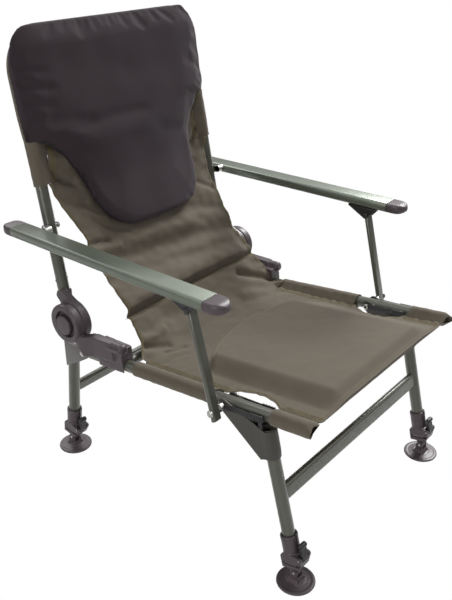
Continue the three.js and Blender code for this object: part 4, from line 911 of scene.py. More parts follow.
# Brackets that join the legs to the rails. The clip is turned, in degrees, from the leg's own space
frontBracket = {"y": 81.84, "z": 342.7, "clipTurn": 7.616, "voxel": 1.15, "clipVoxel": 0.85}
rearBracket = {"y": -43.43, "z": 269.26, "reach": 58.23}


def frontLegBrackets():
    x, y, z = halfGauge, frontBracket["y"], frontBracket["z"]
    trough = hullOutline([(y, z, 12.5), (-6, 303, 0), (-6, 250, 0), (17, 245, 0)], 40)
    room = hullOutline([(y, z, 15.5), (-17, 306, 3), (20, 303, 3), (23, 263, 3)], 40)
    joint = lathe([(0, 14), (1.4, 15.2), (14, 16.4), (40, 17), (57, 17), (58, 16)], (x, 0, 245), (0, 0, 1), 64)
    bore = crossRod(x - 40, x + 40, y, z, pinBore, sides=24)
    made = addObject("bracket", newMesh("bracket", prism(trough, "x", x - 16.3, x + 16.3), spaces["frontLegs"]))
    combine(made, prism(room, "x", x - 13.3, x + 13.3), "frontLegs")
    combine(made, joint, "frontLegs", "UNION")
    combine(made, rod((x, 0, 200), (x, 0, 330), tubeBore, sides=64), "frontLegs")
    combine(made, bore, "frontLegs")
    moulded(made, frontBracket["voxel"], 2)
    finishPiece(made, bracketMoulded, smoothDeg=60)
    settlePair(made, "frontLegBracket", "front_legs", "front_leg_bracket")

    # the clip runs forwards along the rail; at gives a spot by its place along it and its height over it
    turn = math.radians(frontBracket["clipTurn"])

    def at(along, lift, radius):
        across = y + along * math.cos(turn) - lift * math.sin(turn)
        return across, z + along * math.sin(turn) + lift * math.cos(turn), radius

    arm = hullOutline([(y, z, 7.1), at(-88, 0, 4.5)], 32)
    pad = hullOutline([at(along, lift, 2) for along in (-90, -65) for lift in (-4.5, 4.5)], 16)
    strut = hullOutline([at(along, lift, 1.3) for along in (-88, -82.5) for lift in (-15.9, 0)], 16)
    under = hullOutline([at(along, -15.9, 1.3) for along in (-88, -82.5)], 16)
    parts = []
    for arms, pads, ribs in (
        ((-19.2, -16.6), (-19.1, -16.6), (-21.1, -16.6)), ((16.6, 19.2), (16.6, 19.1), (16.6, 21.1)),
    ):
        for outline, (low, high) in ((arm, arms), (pad, pads), (strut, arms)):
            parts.append(prism(outline, "x", x + low, x + high))
        for along in (-90.5, -84.3, -78.1, -71.9, -65.7):
            rib = hullOutline([at(along, lift, 1.1) for lift in (-5.6, 5.6)], 12)
            parts.append(prism(rib, "x", x + ribs[0], x + ribs[1]))
    parts.append(prism(under, "x", x - 19.2, x + 19.2))
    makePair(
        "frontLegClip", "front_legs", "front_leg_clip", merged(*parts), "frontLegs", blackMoulded,
        voxel=frontBracket["clipVoxel"], rounds=1, cuts=[bore])


def rearLegBrackets():
    x, y, z, reach = halfGauge, rearBracket["y"], rearBracket["z"], rearBracket["reach"]
    shares = [(-0.3, 0.03), (-0.06, 0.2), (0.14, 0.2), (1, 0.06), (0.87, -1.01), (0.12, -0.42), (-0.3, -0.05)]
    strap = prism([(y + a * reach, z + b * reach) for a, b in shares], "x", x - 14.8, x + 14.8)
    made = makePiece("strap", strap, "rearLegs", stampedSteel, edge=0.5, cuts=[
        block((x - 13, y - reach, z - 2 * reach), (x + 13, 13, z + reach)),
    ])
    shaft = crossRod(x - 16, x + 16, y, z, boltSizes["shank"], sides=24)
    makePair("strapShaft", "rear_legs", None, shaft, "rearLegs", zincPlated, slotName="bracket_steel")
    settlePair(made, "rearLegBracket", "rear_legs", "rear_leg_bracket")


tubeWork()
hingeParts()
boltsAndPins()
armrests()
legEnds()
frontLegBrackets()
rearLegBrackets()
print("frame, hinges and legs dressed")


# The cover: one cloth over seat, hips and back. x runs across, s from the front hem along the cloth
cover = {
    "front": -183, "seatRear": 242, "sleeveLow": 284, "sleeveHigh": 393, "top": 568, "webDepth": 25, "thick": 0.9,
    "tip": 25, "sleeveRadius": 14.1, "shell": 1.1, "mouth": -175.5,
    "gapFront": -103, "gapRear": 31, "gapDepth": 46, "gapHalf": 68, "sag": 4, "panelRise": 22,
    "panelRight": 186, "panelLeft": 204, "archHalf": 240, "archRear": 180, "archShift": 12, "panelRoll": 44,
}
# Laid flat in metres, with the sleeves opened out
# Half widths of the free cloth by the right and the left edge, at distances along it
freeEdges = {
    -1: ((425, 240), (440, 226), (469, 202), (529, 193), (618, 198), (725, 201), (803, 222), (843, 238)),
    1: ((425, 240), (455, 243), (500, 238), (536, 225), (618, 215), (712, 213), (760, 214), (803, 225), (843, 238)),
}
# The free stretch behind the hips, as shares of the way back and up
hipShares = ((0, 0), (0.154, 0.085), (0.323, 0.2), (0.527, 0.415), (0.723, 0.64), (0.888, 0.82), (1, 1))


def ease(value):
    t = min(1.0, max(0.0, value))
    return t * t * (3 - 2 * t)


def bump(distance, width):
    return math.exp(-((distance / width) ** 2))


# Height of a polyline of (x, s) at x
def along(x, places):
    for (x0, s0), (x1, s1) in zip(places, places[1:]):
        if x <= x1:
            return s0 + (s1 - s0) * max(0.0, (x - x0) / (x1 - x0))
    return places[-1][1]


def worldLine(space, y, z):
    place = spaces[space] @ Vector((0, y, z)) / millimetre
    return place.y, place.z


# A centripetal spline through the shares of the hips
def hipLine(first, last):
    knots = [Vector((first[0] + a * (last[0] - first[0]), first[1] + b * (last[1] - first[1]))) for a, b in hipShares]
    knots = [2 * knots[0] - knots[1]] + knots + [2 * knots[-1] - knots[-2]]
    line = []
    for p0, p1, p2, p3 in zip(knots, knots[1:], knots[2:], knots[3:]):
        t1 = (p1 - p0).length ** 0.5
        t2 = t1 + (p2 - p1).length ** 0.5
        t3 = t2 + (p3 - p2).length ** 0.5
        for step in range(24):
            t = t1 + (t2 - t1) * step / 24
            a1 = p0 * ((t1 - t) / t1) + p1 * (t / t1)
            a2 = p1 * ((t2 - t) / (t2 - t1)) + p2 * ((t - t1) / (t2 - t1))
            a3 = p2 * ((t3 - t) / (t3 - t2)) + p3 * ((t - t2) / (t3 - t2))
            b1 = a1 * ((t2 - t) / t2) + a2 * (t / t2)
            b2 = a2 * ((t3 - t) / (t3 - t1)) + a3 * ((t - t1) / (t3 - t1))
            line.append(tuple(b1 * ((t2 - t) / (t2 - t1)) + b2 * ((t - t1) / (t2 - t1))))
    return line + [last]


# Places on the cloth's middle line every millimetre, with the side that faces the sitter
def coverLine():
    front, rear, low, depth = (cover[key] for key in ("front", "seatRear", "sleeveLow", "webDepth"))
    rest = cover["top"] - low
    line = [worldLine("seat", front + (rear - front) * k / 60, 0) for k in range(60)]
    line += hipLine(worldLine("seat", rear, 0), worldLine("back", depth, low))
    line += [worldLine("back", depth, low + rest * k / 60) for k in range(1, 61)]
    even, spare = [Vector(line[0])], 0.0
    for a, b in zip(map(Vector, line), map(Vector, line[1:])):
        span = (b - a).length
        reach = 1.0 - spare
        while reach <= span:
            even.append(a.lerp(b, reach / span))
            reach += 1.0
        spare = span - (reach - 1.0)
    last = len(even) - 1
    window = 14  # rounds the corners where the cloth leaves its sleeves
    softer = []
    for k in range(len(even)):
        w = min(window, k, last - k)
        softer.append(sum(even[k - w:k + w + 1], Vector((0, 0))) / (2 * w + 1))
    spots = []
    for k, place in enumerate(softer):
        way = (softer[min(k + 3, last)] - softer[max(k - 3, 0)]).normalized()
        spots.append((place, Vector((-way.y, way.x))))
    return spots


coverSpots = coverLine()
seatEnd = cover["seatRear"] - cover["front"]
backStart = len(coverSpots) - 1 - (cover["top"] - cover["sleeveLow"])


def lineAt(s):
    k = min(max(s, 0.0), len(coverSpots) - 1.001)
    low = int(k)
    (p, n), (q, m) = coverSpots[low], coverSpots[low + 1]
    return p.lerp(q, k - low), n.lerp(m, k - low).normalized()


def heightAt(s):
    return cover["sleeveLow"] + s - backStart


# Half the width of the web; beside a sleeve it ends inside the sleeve
def halfWidth(s, side):
    inSleeve = halfGauge - cover["tip"] + 3
    if s <= seatEnd:
        turn = (cover["front"] + s - (cover["gapFront"] + cover["gapRear"]) / 2) / cover["gapHalf"]
        return min(inSleeve, 248 - cover["gapDepth"] * math.sqrt(max(0.0, 1 - turn * turn)))
    if s < backStart:
        # a running mean rounds the corners of the edge
        return sum(along(s + k, freeEdges[side]) for k in (-14, -7, 0, 7, 14)) / 5
    return backTubeX(heightAt(s)) - cover["tip"] + 3


def archAt(x):
    return cover["archRear"] * math.sqrt(max(0.0, 1 - ((x - cover["archShift"]) / cover["archHalf"]) ** 2))


# Thickness of the padded panel on the seat
def panelRise(x, y):
    half = cover["panelRight" if x < 0 else "panelLeft"]
    roll = cover["panelRoll"] if x < 0 else 1.4 * cover["panelRoll"]
    t = min(1.0, max(0.0, (half - abs(x)) / roll))
    inSide = 0.4 * ease(t) + 0.6 * (t - 0.5 * max(0.0, t - 0.85) ** 2 / 0.15) / 0.925
    inRear = ease((archAt(x) - y + 2) / 17)
    inFront = 0.3 + 0.7 * ease((y - cover["front"]) / 30)
    return cover["panelRise"] * inSide * inRear * inFront


hipSeam = [(-192, 531), (-114, 532), (-82, 534), (6, 536), (118, 536), (225, 534)]
# Folds of the cloth: (line of (x, s), depth, width, half length it fades over)
softFolds = (
    ([(-174, 652), (38, 639), (214, 616)], 8.5, 17, 25),
    ([(-110, 610), (30, 596), (190, 580)], 4.0, 13, 40),
    ([(-206, 702), (-176, 699), (-150, 694)], 7.5, 6, 12),
    ([(-202, 686), (-160, 680), (-130, 676)], -4.0, 9, 14),
    ([(60, 706), (130, 690), (205, 668)], 5.5, 14, 26),
    ([(-60, 676), (20, 674), (80, 668)], -4.0, 15, 40),
    ([(-160, 745), (-126, 716), (-90, 702)], 4.0, 8, 14),
    ([(-176, 770), (-150, 752), (-128, 740)], -3.0, 8, 12),
    ([(120, 770), (160, 748), (200, 722)], 4.0, 9, 18),
    ([(150, 506), (200, 476), (244, 448)], 11.0, 12, 16),
    ([(120, 452), (170, 436), (224, 416)], -4.0, 14, 20),
    ([(-198, 456), (-176, 446), (-150, 436)], 7.0, 8, 12),
    ([(-190, 478), (-160, 466), (-134, 474)], -5.0, 11, 14),
    ([(-170, 424), (-150, 412), (-128, 410)], 4.5, 7, 10),
    ([(-120, 492), (-30, 482), (60, 488)], 3.2, 20, 40),
    ([(-214, 396), (-176, 392), (-150, 384)], 3.0, 8, 14),
    ([(-60, 430), (0, 424), (60, 430)], -3.4, 26, 40),
    ([(-150, 560), (-40, 566), (120, 562)], -3.0, 16, 60),
    ([(-226, 868), (-202, 846), (-172, 832)], 9.0, 8, 12),
    ([(-228, 900), (-196, 886), (-166, 880)], -5.5, 12, 14),
    ([(-222, 926), (-204, 918), (-184, 920)], 7.0, 7, 10),
    ([(-214, 806), (-184, 790), (-160, 786)], 4.0, 8, 12),
    ([(190, 838), (206, 856), (228, 880)], 5.0, 8, 12),
    ([(186, 900), (206, 912), (226, 930)], 3.5, 8, 12),
)


# How deep the folds are at a place
def foldsAt(x, s, folds):
    total = 0.0
    for line, depth, width, fade in folds:
        first, last = line[0][0], line[-1][0]
        if first - fade < x < last + fade:
            away = s - along(x, line)
            if abs(away) <= 3 * width:
                inside = ease((x - first) / fade + 1) * ease((last - x) / fade + 1)
                total += depth * inside * bump(away, width)
    return total


# How far the cloth's middle stands off its line, towards the sitter
def webLift(x, s):
    half = halfGauge - tubeRadius / 2
    lift = 0.0
    if s <= seatEnd + 40:
        y = cover["front"] + s
        span = min(1.0, s / seatEnd)
        lift -= cover["sag"] * max(0.0, 1 - (x / half) ** 2) * math.sin(math.pi * span)
        lift += panelRise(x, y)
        lift -= 1.6 * bump(y - archAt(x), 3.4) * ease((190 - abs(x)) / 12)  # the sewn line of the arch
    # the cloth above the hip seam is full and hangs over it
    away = s - along(x, hipSeam)
    across = ease((214 - abs(x)) / 34)
    if -60 < away < 120:
        lift -= 8.0 * bump(away, 5.0) * (0.35 + 0.65 * across)
        if away > 0:
            lift += 15.0 * ease(away / 17) * (1 - ease((away - 20) / 72)) * (0.3 + 0.7 * across)
        else:
            lift += 3.5 * ease(-away / 10) * (1 - ease((-away - 12) / 40)) * across
    lift -= foldsAt(x, s, softFolds)
    if seatEnd - 1 < s < backStart + 1:
        # edges rise to clear rail and tube where the sleeves begin and end
        low = ease((abs(x) - 219) / 16) * (1 - ease((s - seatEnd) / 34))
        high = ease((abs(x) - 221) / 14) * ease((s - backStart + 34) / 30)
        lift += 13.5 * low + 9 * high
    slack = 0.25 + 0.75 * ease((s - 330) / 120) * (1 - ease((s - backStart + 40) / 120))
    place = Vector((x / 62, s / 46, 3.1))
    lift += 4.2 * slack * noise.noise(place) + 1.6 * slack * noise.noise(place * 2.6)
    # puckers that the sleeve and gap stitching draws
    edge = halfWidth(s, 1 if x > 0 else -1) - abs(x)
    if edge < 40:
        draw = bump(edge - 4, 15)
        lift += 0.9 * draw * math.sin(s / 4.1 + 2.2 * noise.noise(Vector((s / 19, x / 200, 9.0))))
    return lift


def coverPoint(x, s, off):
    place, out = lineAt(s)
    lift = webLift(x, s) + off
    forward = 8 * bump(abs(x) - 229, 7) * (1 - ease(s / 26)) if s < 30 else 0.0  # the hem draws in beside the rail
    return Vector((x, place.x + out.x * lift + forward, place.y + out.y * lift))


# Where the cloth's rows lie: closest together by the hand gaps, the seams and the sleeves' ends
def coverRows():
    rows, s = [], 0.0
    while s < len(coverSpots) - 1:
        rows.append(s)
        y = cover["front"] + s
        close = min(abs(y - cover["gapFront"]), abs(y - cover["gapRear"]))
        near = min(abs(s - along(0, hipSeam)), abs(s - 475))
        step = 2.0 if close < 9 or near < 26 else 4.0 if s < 900 else 8.0
        if abs(s - seatEnd) < 4 or abs(s - backStart) < 4:
            step = 1.0
        s += step
    return rows + [len(coverSpots) - 1.01]


# Faces of two like grids of points, one behind the other, and of the rim between them
def shellFaces(rows, count):
    total = rows * count
    faces = []
    for offset, way in ((0, 1), (total, -1)):
        for r in range(rows - 1):
            for c in range(count - 1):
                a = offset + r * count + c
                faces.append([a, a + 1, a + count + 1, a + count][::way])
    border = list(range(count)) + [r * count + count - 1 for r in range(1, rows)]
    border += [(rows - 1) * count + c for c in range(count - 2, -1, -1)] + [r * count for r in range(rows - 2, 0, -1)]
    for a, b in zip(border, border[1:] + border[:1]):
        faces.append([b, a, total + a, total + b])
    return faces


# A thin closed shell. The padding is on top, so the underside of the seat stays plain
def webShape(count=117):
    rows = coverRows()
    points, flat = [], []
    for off in (cover["thick"], -cover["thick"]):
        for s in rows:
            for c in range(count):
                u = 2 * c / (count - 1) - 1
                half = halfWidth(s, 1 if u > 0 else -1)
                x = half * (1.12 * u - 0.12 * u ** 3)
                rim = ease((half - abs(x)) / 1.2 + 0.35)
                under = -0.75 * panelRise(x, cover["front"] + s) if off < 0 and s < seatEnd else 0.0
                points.append(tuple(coverPoint(x, s, off * rim + under)))
                flat.append((x * millimetre, s * millimetre))
    return points, shellFaces(len(rows), count), flat


# A sleeve's section round a tube: the circle and the two flats that meet in the stitching
def teardrop(radius, tip, rise, steps=30):
    point = Vector((-tip, rise))
    toward = math.atan2(point.y, point.x)
    spread = math.acos(min(1.0, radius / point.length))
    ring = []
    first, last = toward - spread, toward + spread - 2 * math.pi
    for k in range(steps + 1):
        angle = first + (last - first) * k / steps
        ring.append(Vector((radius * math.cos(angle), radius * math.sin(angle))))
    return [point.lerp(ring[0], k / 6) for k in range(6)] + ring + [ring[-1].lerp(point, k / 6) for k in range(1, 6)]


# Hollow sleeve between two places on a rail or tube. rise is the web's height over the tube's axis,
# and past mouth the sleeve's end lies flat, with its outer corner down and forwards
def sleeveShape(side, space, rise, low, high, seed, mouth=None):
    radius, tip = cover["sleeveRadius"], cover["tip"]
    count = max(8, int((high - low) / 3.0))
    rows = [low + (high - low) * k / count for k in range(count + 1)]
    outer = teardrop(radius + cover["shell"], tip, rise)
    inner = teardrop(radius, tip - 2.2, rise * 0.9)
    points, flat = [], []
    for loop, outside in ((outer, True), (inner, False)):
        for place in rows:
            axis = halfGauge if space == "seat" else backTubeX(place)
            end = ease((mouth - place) / 12) if mouth else 0.0
            girth = 0.0
            for k, p in enumerate(loop):
                q = p.copy()
                if outside:
                    ripple = noise.noise(Vector((place / 13, k / 5.5, seed)))
                    fine = math.sin(place / 3.6 + 2.5 * noise.noise(Vector((place / 23, seed, 1.0))))
                    q += p.normalized() * (0.7 * ripple + 0.5 * bump(p.x + tip - 7, 7) * fine)
                corner = end * ease((p.x + 8) / 24)
                across, up = side * (axis + q.x + 4 * end), q.y * (1 - 0.84 * end) - 4.5 * corner
                if space == "seat":
                    spot = (across, place - 9 * corner, up)
                else:
                    spot = (across, tubeStock["back"] - up, place)
                points.append(tuple(spaces[space] @ Vector(spot) / millimetre))
                if k:
                    girth += (loop[k] - loop[k - 1]).length
                flat.append((side * 0.25 + girth * millimetre, place * millimetre))
    faces = []
    size, layer = len(outer), len(rows) * len(outer)
    for r in range(len(rows) - 1):
        for k in range(size):
            a, b = r * size + k, r * size + (k + 1) % size
            faces += [[a, b, b + size, a + size], [layer + a + size, layer + b + size, layer + b, layer + a]]
    for r in (0, layer - size):
        for k in range(size):
            a, b = r + k, r + (k + 1) % size
            faces.append([a, b, layer + b, layer + a])
    return points, faces, flat


# One mesh from parts that carry their own flat coordinates in metres
def laidOut(name, parts, finish):
    points, faces = merged(*[part[:2] for part in parts])
    flat = [spot for part in parts for spot in part[2]]
    mesh = bpy.data.meshes.new(name)
    mesh.from_pydata(points, [], faces)
    work = bmesh.new()
    work.from_mesh(mesh)
    bmesh.ops.recalc_face_normals(work, faces=work.faces)
    work.to_mesh(mesh)
    work.free()
    mesh.transform(spaces["world"])
    layer = mesh.uv_layers.new(name="flat")
    for loop in mesh.loops:
        layer.data[loop.index].uv = flat[loop.vertex_index]
    made = addObject(name, mesh)
    finishPiece(made, finish, smoothDeg=50)
    return made


def coverPiece():
    parts = [webShape()]
    for number, (_, side) in enumerate(hands):
        parts += [
            sleeveShape(side, "seat", 0, cover["front"], cover["gapFront"], 3.0 + number, cover["mouth"]),
            sleeveShape(side, "seat", 0, cover["gapRear"], cover["seatRear"], 7.0 + number),
            sleeveShape(side, "back", 5, cover["sleeveLow"], cover["sleeveHigh"], 12.0 + number),
        ]
    return laidOut("chairCover", parts, oliveCloth)


def steps(a, b, step=3.0):
    count = max(1, int(abs(b - a) / step))
    return [a + (b - a) * k / count for k in range(count + 1)]


def onCover(spots, off=1.3):
    return [coverPoint(x, s, off) * millimetre for x, s in spots]


# Runs of stitching, laid on the cloth: the yellow ones and the pale ones
def stitching():
    yellow = []
    gapLow, gapHigh = cover["gapFront"] - cover["front"], cover["gapRear"] - cover["front"]
    for side in (-1, 1):
        for inward in (3.6, 8.0, 13.0):
            away = cover["tip"] + inward
            rail = halfGauge - cover["tip"] - inward
            yellow.append([(side * rail, s) for s in steps(5, gapLow + 2)])
            yellow.append([(side * rail, s) for s in steps(gapHigh - 2, seatEnd - 3)])
            tube = steps(backStart + 3, backStart + 112)
            yellow.append([(side * (backTubeX(heightAt(s)) - away), s) for s in tube])
        # round the hand gap, and down the free edges
        yellow.append([(side * (halfWidth(s, side) - 5), s) for s in steps(gapLow + 1, gapHigh - 1, 2.0)])
        yellow.append([(side * (halfWidth(s, side) - 4.5), s) for s in steps(seatEnd + 3, backStart - 3)])
    pale = [
        [(x, archAt(x) - cover["front"] - 13.5) for x in steps(-150, 184)],
        [(x, along(x, hipSeam) - 2.2) for x in steps(-200, 208)],
        [(x, 7.0) for x in steps(-214, 214)],
    ]
    return [onCover(run) for run in yellow], [onCover(run, 1.2) for run in pale]


# Puts the piece's placing into its own points
def blendCloth(made):
    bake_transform(made)


chairCover = coverPiece()
blendCloth(chairCover)
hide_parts("seat_fabric", "lumbar_fabric", "backrest_fabric")
yellowRuns, paleRuns = stitching()
seams = [
    stitches("sleeveStitching", yellowRuns, threadYellow, pitch=4.4, length=3.7, radius=0.62),
    stitches("panelStitching", paleRuns, threadPale, pitch=3.4, length=3.1, radius=0.6),
]
for seam in seams:
    blendCloth(seam)
print("cover sewn")


# The padded head cover: a hood over the top bow and a cushion whose tongue runs down the back
pad = {
    "low": 150, "crest": 589, "half": 240, "black": 392, "blackRight": 367, "voxel": 4.6,
    "wrap": 18.8, "hem": 15.8, "rise": 19, "upperRise": 9, "edge": 8, "rear": -2.0,
    "roll": 26, "tongueRoll": 16, "swell": 3.0, "pressure": 3.0, "fill": 0.75,
}
padOutline = (
    (0, 0), (0.005, 0.18), (0.02, 0.35), (0.05, 0.47), (0.1, 0.55), (0.18, 0.61), (0.28, 0.655), (0.38, 0.69),
    (0.46, 0.76), (0.52, 0.87), (0.565, 0.97), (0.6, 1), (1.01, 1),
)
padCreases = (
    # (x, height) runs, depth, width, fade
    ([(-130, 380), (-60, 388), (20, 386)], 2.6, 12, 50),
    ([(-130, 350), (-60, 356), (20, 352)], -2.0, 18, 60),
    ([(-262, 526), (-240, 508), (-212, 500)], 2.8, 8, 36),
    ([(-262, 490), (-238, 474), (-200, 466)], 3.4, 9, 36),
    ([(-262, 462), (-240, 444), (-206, 432)], 2.2, 10, 32),
    ([(210, 466), (234, 450), (262, 440)], 2.5, 14, 30),
    ([(-200, 402), (-150, 398), (-120, 390)], 2.4, 13, 36),
    ([(90, 330), (140, 322), (200, 318)], 1.6, 16, 40),
    ([(20, 466), (80, 456), (150, 466)], 1.6, 28, 60),
)
intoBack = spaces["back"].inverted()
backTurn = spaces["back"].to_3x3().normalized().transposed()


# Depth of the cloth's middle line in the back's own space, found by halving
def webDepthAt(height):
    if height >= cover["sleeveLow"]:
        return cover["webDepth"]
    low, high = backStart - 260, backStart
    for _ in range(24):
        s = (low + high) / 2
        place, _ = lineAt(s)
        local = intoBack @ (Vector((0, place.x, place.y)) * millimetre)
        if local.z < height:
            low = s
        else:
            high = s
    return local.y


# Middle line of tubes and bow from the black edge up, over and down, as (x, z)
def tubePath():
    top, bend, hem, low = tubeStock["top"], tubeStock["bend"], pad["black"], pad["blackRight"]
    half = backTubeX(top)
    path = [(backTubeX(h), h) for h in (hem, 420, 450, 480, top)]
    path += [(half - bend + bend * math.cos(angle), top + bend * math.sin(angle)) for angle in quarterTurn[1:]]
    path += [(-x, z) for x, z in path[::-1]]
    return path[:-1] + [(-backTubeX(hem), hem), (-backTubeX(low), low)]


def hoodRings():
    path = tubePath()
    rings = []
    for spot, (x, z) in enumerate(path):
        way = (Vector(path[min(len(path) - 1, spot + 1)]) - Vector(path[max(0, spot - 1)])).normalized()
        hem = pad["black"] if x > 0 else pad["blackRight"]
        radius = pad["hem"] + (pad["wrap"] - pad["hem"]) * ease((z - hem) / 46)
        ring = [(radius * math.cos(angle), radius * math.sin(angle)) for angle in turns(32)]
        rings.append([(x + way.y * out, tubeStock["back"] + rise, z - way.x * out) for out, rise in ring])
    return rings


# How far the cushion reaches to the right and the left at a share of its height
def padReaches(share, z):
    half = pad["half"]
    corner = max(0.0, z - tubeStock["top"]) / (pad["crest"] - tubeStock["top"])
    narrowing = 1 - (tubeStock["bend"] / half) * (1 - math.sqrt(max(0.0, 1 - corner ** 2)))
    reaches = []
    for lower in (0.058 * ease((share - 0.24) / 0.12), 0.0):
        wide = along(share + lower, padOutline)
        reaches.append((half * wide + 18 * ease((wide - 0.86) / 0.14)) * (narrowing + 0.06 * corner))
    # the tongue leans to the sitter's left
    reaches[1] += 20 * ease(share / 0.06) * (1 - ease((reaches[1] / half - 0.8) / 0.2))
    return reaches


def cushionShape(across=96, up=120):
    size = pad
    front, rear = [], []
    for j in range(up + 1):
        share = (j / up) ** 1.05
        z = size["low"] + (size["crest"] - size["low"]) * share
        right, left = padReaches(share, z)
        depth = sum(webDepthAt(max(size["low"], z + k)) for k in (-36, -18, 0, 18, 36)) / 5
        roll = size["tongueRoll"] + (size["roll"] - size["tongueRoll"]) * ease((z - 330) / 90)
        rise = size["rise"] + (size["upperRise"] - size["rise"]) * ease((z - 330) / 190)
        for i in range(across + 1):
            u = 2 * i / across - 1
            reach = left if u > 0 else right
            x = reach * u
            # a steep rolled edge, then a slow dome
            inward = min(reach - abs(x), 0.9 * (z - size["low"]))
            dome = (0.55 * ease(inward / roll + 0.1) + 0.45 * ease(inward / 100)) * ease((size["crest"] - z) / 46)
            front.append((x, depth - 2.3 - size["edge"] - rise * dome, z))
            rear.append((x, depth + size["rear"], z))
    return front + rear, shellFaces(up + 1, across + 1)


def padShape():
    low, high = pad["blackRight"], pad["black"]
    half = backTubeX(480)
    panel = [(-half, low), (half, high), (half, 500), (half - 40, 565), (40 - half, 565), (-half, 500)]
    # the cloth stands fuller over the corners than the bow inside it
    corners = [rod((side * 178, 30, 566), (side * 236, 30, 512), 17.5, edge=8, sides=32) for side in (-1, 1)]
    return merged(cushionShape(), loft(hoodRings()), prism(panel, "y", 20.5, 28), *corners)


# The melted skin is stepped, so its face goes back on the drawn one
def smoothSkin(made, shape):
    drawn = BVHTree.FromPolygons([Vector(p) for p in shape[0]], shape[1])
    for v in made.data.vertices:
        p = intoBack @ v.co
        ahead = ease((-(backTurn @ v.normal).y - 0.25) / 0.25)
        hit = drawn.ray_cast(Vector((p.x, -200, p.z)), Vector((0, 1, 0)))[0] if ahead else None
        if hit and abs(hit.y - p.y) < 6:
            v.co = spaces["back"] @ Vector((p.x, p.y + (hit.y - p.y) * ahead, p.z))
    modify(made, "SMOOTH", factor=0.5, iterations=4)
    bake(made)


# Blows the cushion up from inside; only its face may swell, not its back or the tube wraps
def swell(made):
    freedom = []
    for v in made.data.vertices:
        p = intoBack @ v.co
        freedom.append(ease((27 - p.y) / 18) * ease((p.z - pad["low"] + 12) / 30))
    hold = made.vertex_groups.new(name="hold")
    for index, free in enumerate(freedom):
        hold.add([index], 1 - min(1.0, 1.3 * free), "REPLACE")
    change = modify(made, "CLOTH")
    clothSettings = {
        "quality": 6, "mass": 0.25, "tension_stiffness": 22, "compression_stiffness": 22, "bending_stiffness": 5.0,
        "shrink_min": -0.012, "use_pressure": True, "uniform_pressure_force": pad["pressure"],
        "vertex_group_mass": "hold",
    }
    for setting, value in clothSettings.items():
        setattr(change.settings, setting, value)
    change.settings.effector_weights.gravity = 0
    change.collision_settings.use_self_collision = False
    for step in range(1, 21):
        bpy.context.scene.frame_set(step)
    blown = made.evaluated_get(bpy.context.evaluated_depsgraph_get())
    moves = [Vector(b.co) - v.co for b, v in zip(blown.to_mesh().vertices, made.data.vertices)]
    blown.to_mesh_clear()
    made.modifiers.clear()
    made.vertex_groups.clear()
    for v, move, free in zip(made.data.vertices, moves, freedom):
        cap = (1.0 + pad["swell"] * free) * millimetre
        v.co += move * min(1.0, cap / max(move.length, 1e-9))
    bpy.context.scene.frame_set(1)


def crease(made):
    toWorld = spaces["back"].to_3x3()
    for v in made.data.vertices:
        p = intoBack @ v.co
        total = foldsAt(p.x, p.z, padCreases) if p.y < 26 else 0.0
        ahead = ease((24 - p.y) / 14)
        total -= ahead * 2.0 * noise.noise(Vector((p.x / 80, p.z / 60, 5.0)))
        v.co += toWorld @ Vector((0, total * ahead, 0))


# Black in front and round the tubes, olive behind and inside the hood
def dressPad(made):
    made.data.materials.clear()
    made.data.materials.append(padCloth)
    made.data.materials.append(oliveCloth)
    # the weave lies on each side flat; the olive back is well past the cover's own seam lines
    layer = made.data.uv_layers.new(name="flat")
    for face in made.data.polygons:
        p = intoBack @ face.center
        facing = backTurn @ face.normal
        split = (28 if p.x < 0 else 32) + 16 * ease((p.z - 530) / 36)
        inside = abs(p.x) < backTubeX(min(p.z, tubeStock["top"])) - 6 and p.z < 556
        if p.y > split or facing.y > 0.5 or (inside and p.y > 22):
            face.material_index = 1
        side = max(range(3), key=lambda k: abs(facing[k]) + (0.3 if k == 1 else 0))
        for loop in face.loop_indices:
            p = intoBack @ made.data.vertices[made.data.loops[loop].vertex_index].co
            across, up = p.y if side == 0 else p.x, p.y if side == 2 else p.z
            layer.data[loop].uv = (across * millimetre, 2 + up * millimetre)
    # painted shade: where the tongue's edge turns away from the front, low on the pad, its colour is darkened
    rim = made.data.attributes.new("rim", "FLOAT", "POINT")
    for v in made.data.vertices:
        p = intoBack @ v.co
        rim.data[v.index].value = 0.8 * ease(((backTurn @ v.normal).y + 0.86) / 0.4) * ease((430 - p.z) / 60)
    made.data.shade_smooth()


shape = padShape()
headPad = addObject("headPad", newMesh("headPad", shape, spaces["back"]))
moulded(headPad, pad["voxel"], 3)
smoothSkin(headPad, shape)
swell(headPad)
modify(headPad, "SUBSURF", levels=1, render_levels=1)
bake(headPad)
crease(headPad)
dressPad(headPad)
settle(headPad, "backrest", "head_pad", "pad_fabric")
print("head pad filled")


# Floor, light and camera
view = {"azimuth": -49.834, "elevation": 27.495, "distance": 1.66118, "target": (0, 0.03395, 0.37202), "lens": 45.651}
floorSize = {"half": 30, "height": -0.3}  # low enough for the longest legs
lamps = (
    # name, place, power, size; each points at the seat
    ("key", (4.0, 0.3, 4.1), 318, 2.2),
    ("side", (-2.6, -0.5, 1.0), 18, 1.0),
    ("back", (0.6, 2.2, 2.2), 16, 1.2),
)
lampTarget = (0, 0, 0.45)
white = (1, 1, 1, 1)


def addHolder(name, data, place, direction, axis):
    holder = addObject(name, data)
    holder.location = place
    holder.rotation_euler = direction.to_track_quat(axis, "Y").to_euler()
    return holder


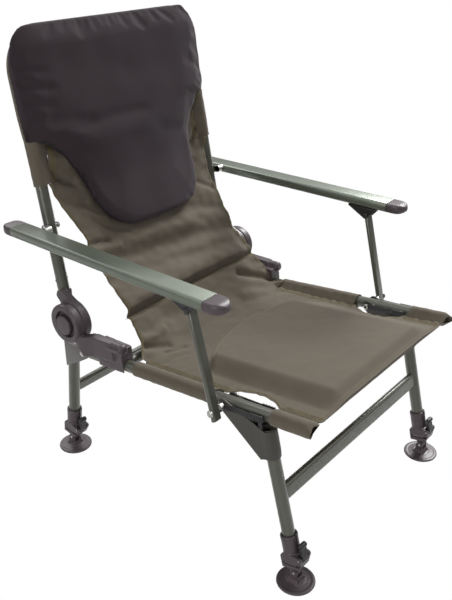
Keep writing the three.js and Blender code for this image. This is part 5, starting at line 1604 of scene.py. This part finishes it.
# White to the camera, pale to the light that falls on it
def layFloor():
    half, height = floorSize["half"], floorSize["height"]
    corners = [(-half, -half, height), (half, -half, height), (half, half, height), (-half, half, height)]
    floor = addObject("floor", newMesh("floor", (corners, [[0, 1, 2, 3]]), Matrix.Identity(4)))
    made, tree, shader = newMaterial("paleFloor")
    fill(tree, shader, {"Base Color": (0.8, 0.8, 0.8, 1), "Roughness": 0.9})
    seen = add(tree, "ShaderNodeLightPath", {}).outputs["Is Camera Ray"]
    bright = add(tree, "ShaderNodeEmission", {"Color": white, "Strength": 1.0})
    both = add(tree, "ShaderNodeMixShader", {0: seen, 1: shader.outputs[0], 2: bright.outputs[0]})
    tree.links.new(both.outputs[0], tree.nodes["Material Output"].inputs["Surface"])
    floor.data.materials.append(made)


# White to the camera; polished parts see a bright tent overhead and a dimmer room round it
def lightWorld():
    world = bpy.data.worlds.new("studio")
    world.use_nodes = True
    bpy.context.scene.world = world
    tree = world.node_tree
    path = add(tree, "ShaderNodeLightPath", {}).outputs
    seen = mathsIn(tree)("MAXIMUM", path["Is Camera Ray"], path["Is Transmission Ray"])
    turned = add(tree, "ShaderNodeSeparateXYZ", {0: add(tree, "ShaderNodeTexCoord", {}).outputs["Generated"]})
    tent = ranged(tree, turned.outputs["Z"], fromMin=0.15, fromMax=0.55, toMin=0.25, toMax=1.3)
    room = add(tree, "ShaderNodeMix", {"Factor": path["Is Glossy Ray"], "A": 0.24, "B": tent})
    soft = fill(tree, tree.nodes["Background"], {"Color": white, "Strength": room.outputs[0]})
    bright = add(tree, "ShaderNodeBackground", {"Color": white, "Strength": 1.0})
    both = add(tree, "ShaderNodeMixShader", {0: seen, 1: soft.outputs[0], 2: bright.outputs[0]})
    tree.links.new(both.outputs[0], tree.nodes["World Output"].inputs["Surface"])


def hangLamps():
    for name, place, power, size in lamps:
        lamp = bpy.data.lights.new(name, "AREA")
        lamp.energy = power
        lamp.size = size
        addHolder(name, lamp, place, Vector(lampTarget) - Vector(place), "-Z")


def setCamera():
    azimuth, elevation = math.radians(view["azimuth"]), math.radians(view["elevation"])
    level = math.cos(elevation)
    back = Vector((math.sin(azimuth) * level, -math.cos(azimuth) * level, math.sin(elevation)))
    lens = bpy.data.cameras.new("camera")
    lens.lens = view["lens"]
    lens.sensor_width = 36
    lens.sensor_fit = "AUTO"
    bpy.context.scene.camera = addHolder("camera", lens, Vector(view["target"]) + back * view["distance"], back, "Z")


layFloor()
lightWorld()
hangLamps()
setCamera()
bpy.context.scene.view_settings.view_transform = "Standard"
print("scene ready")
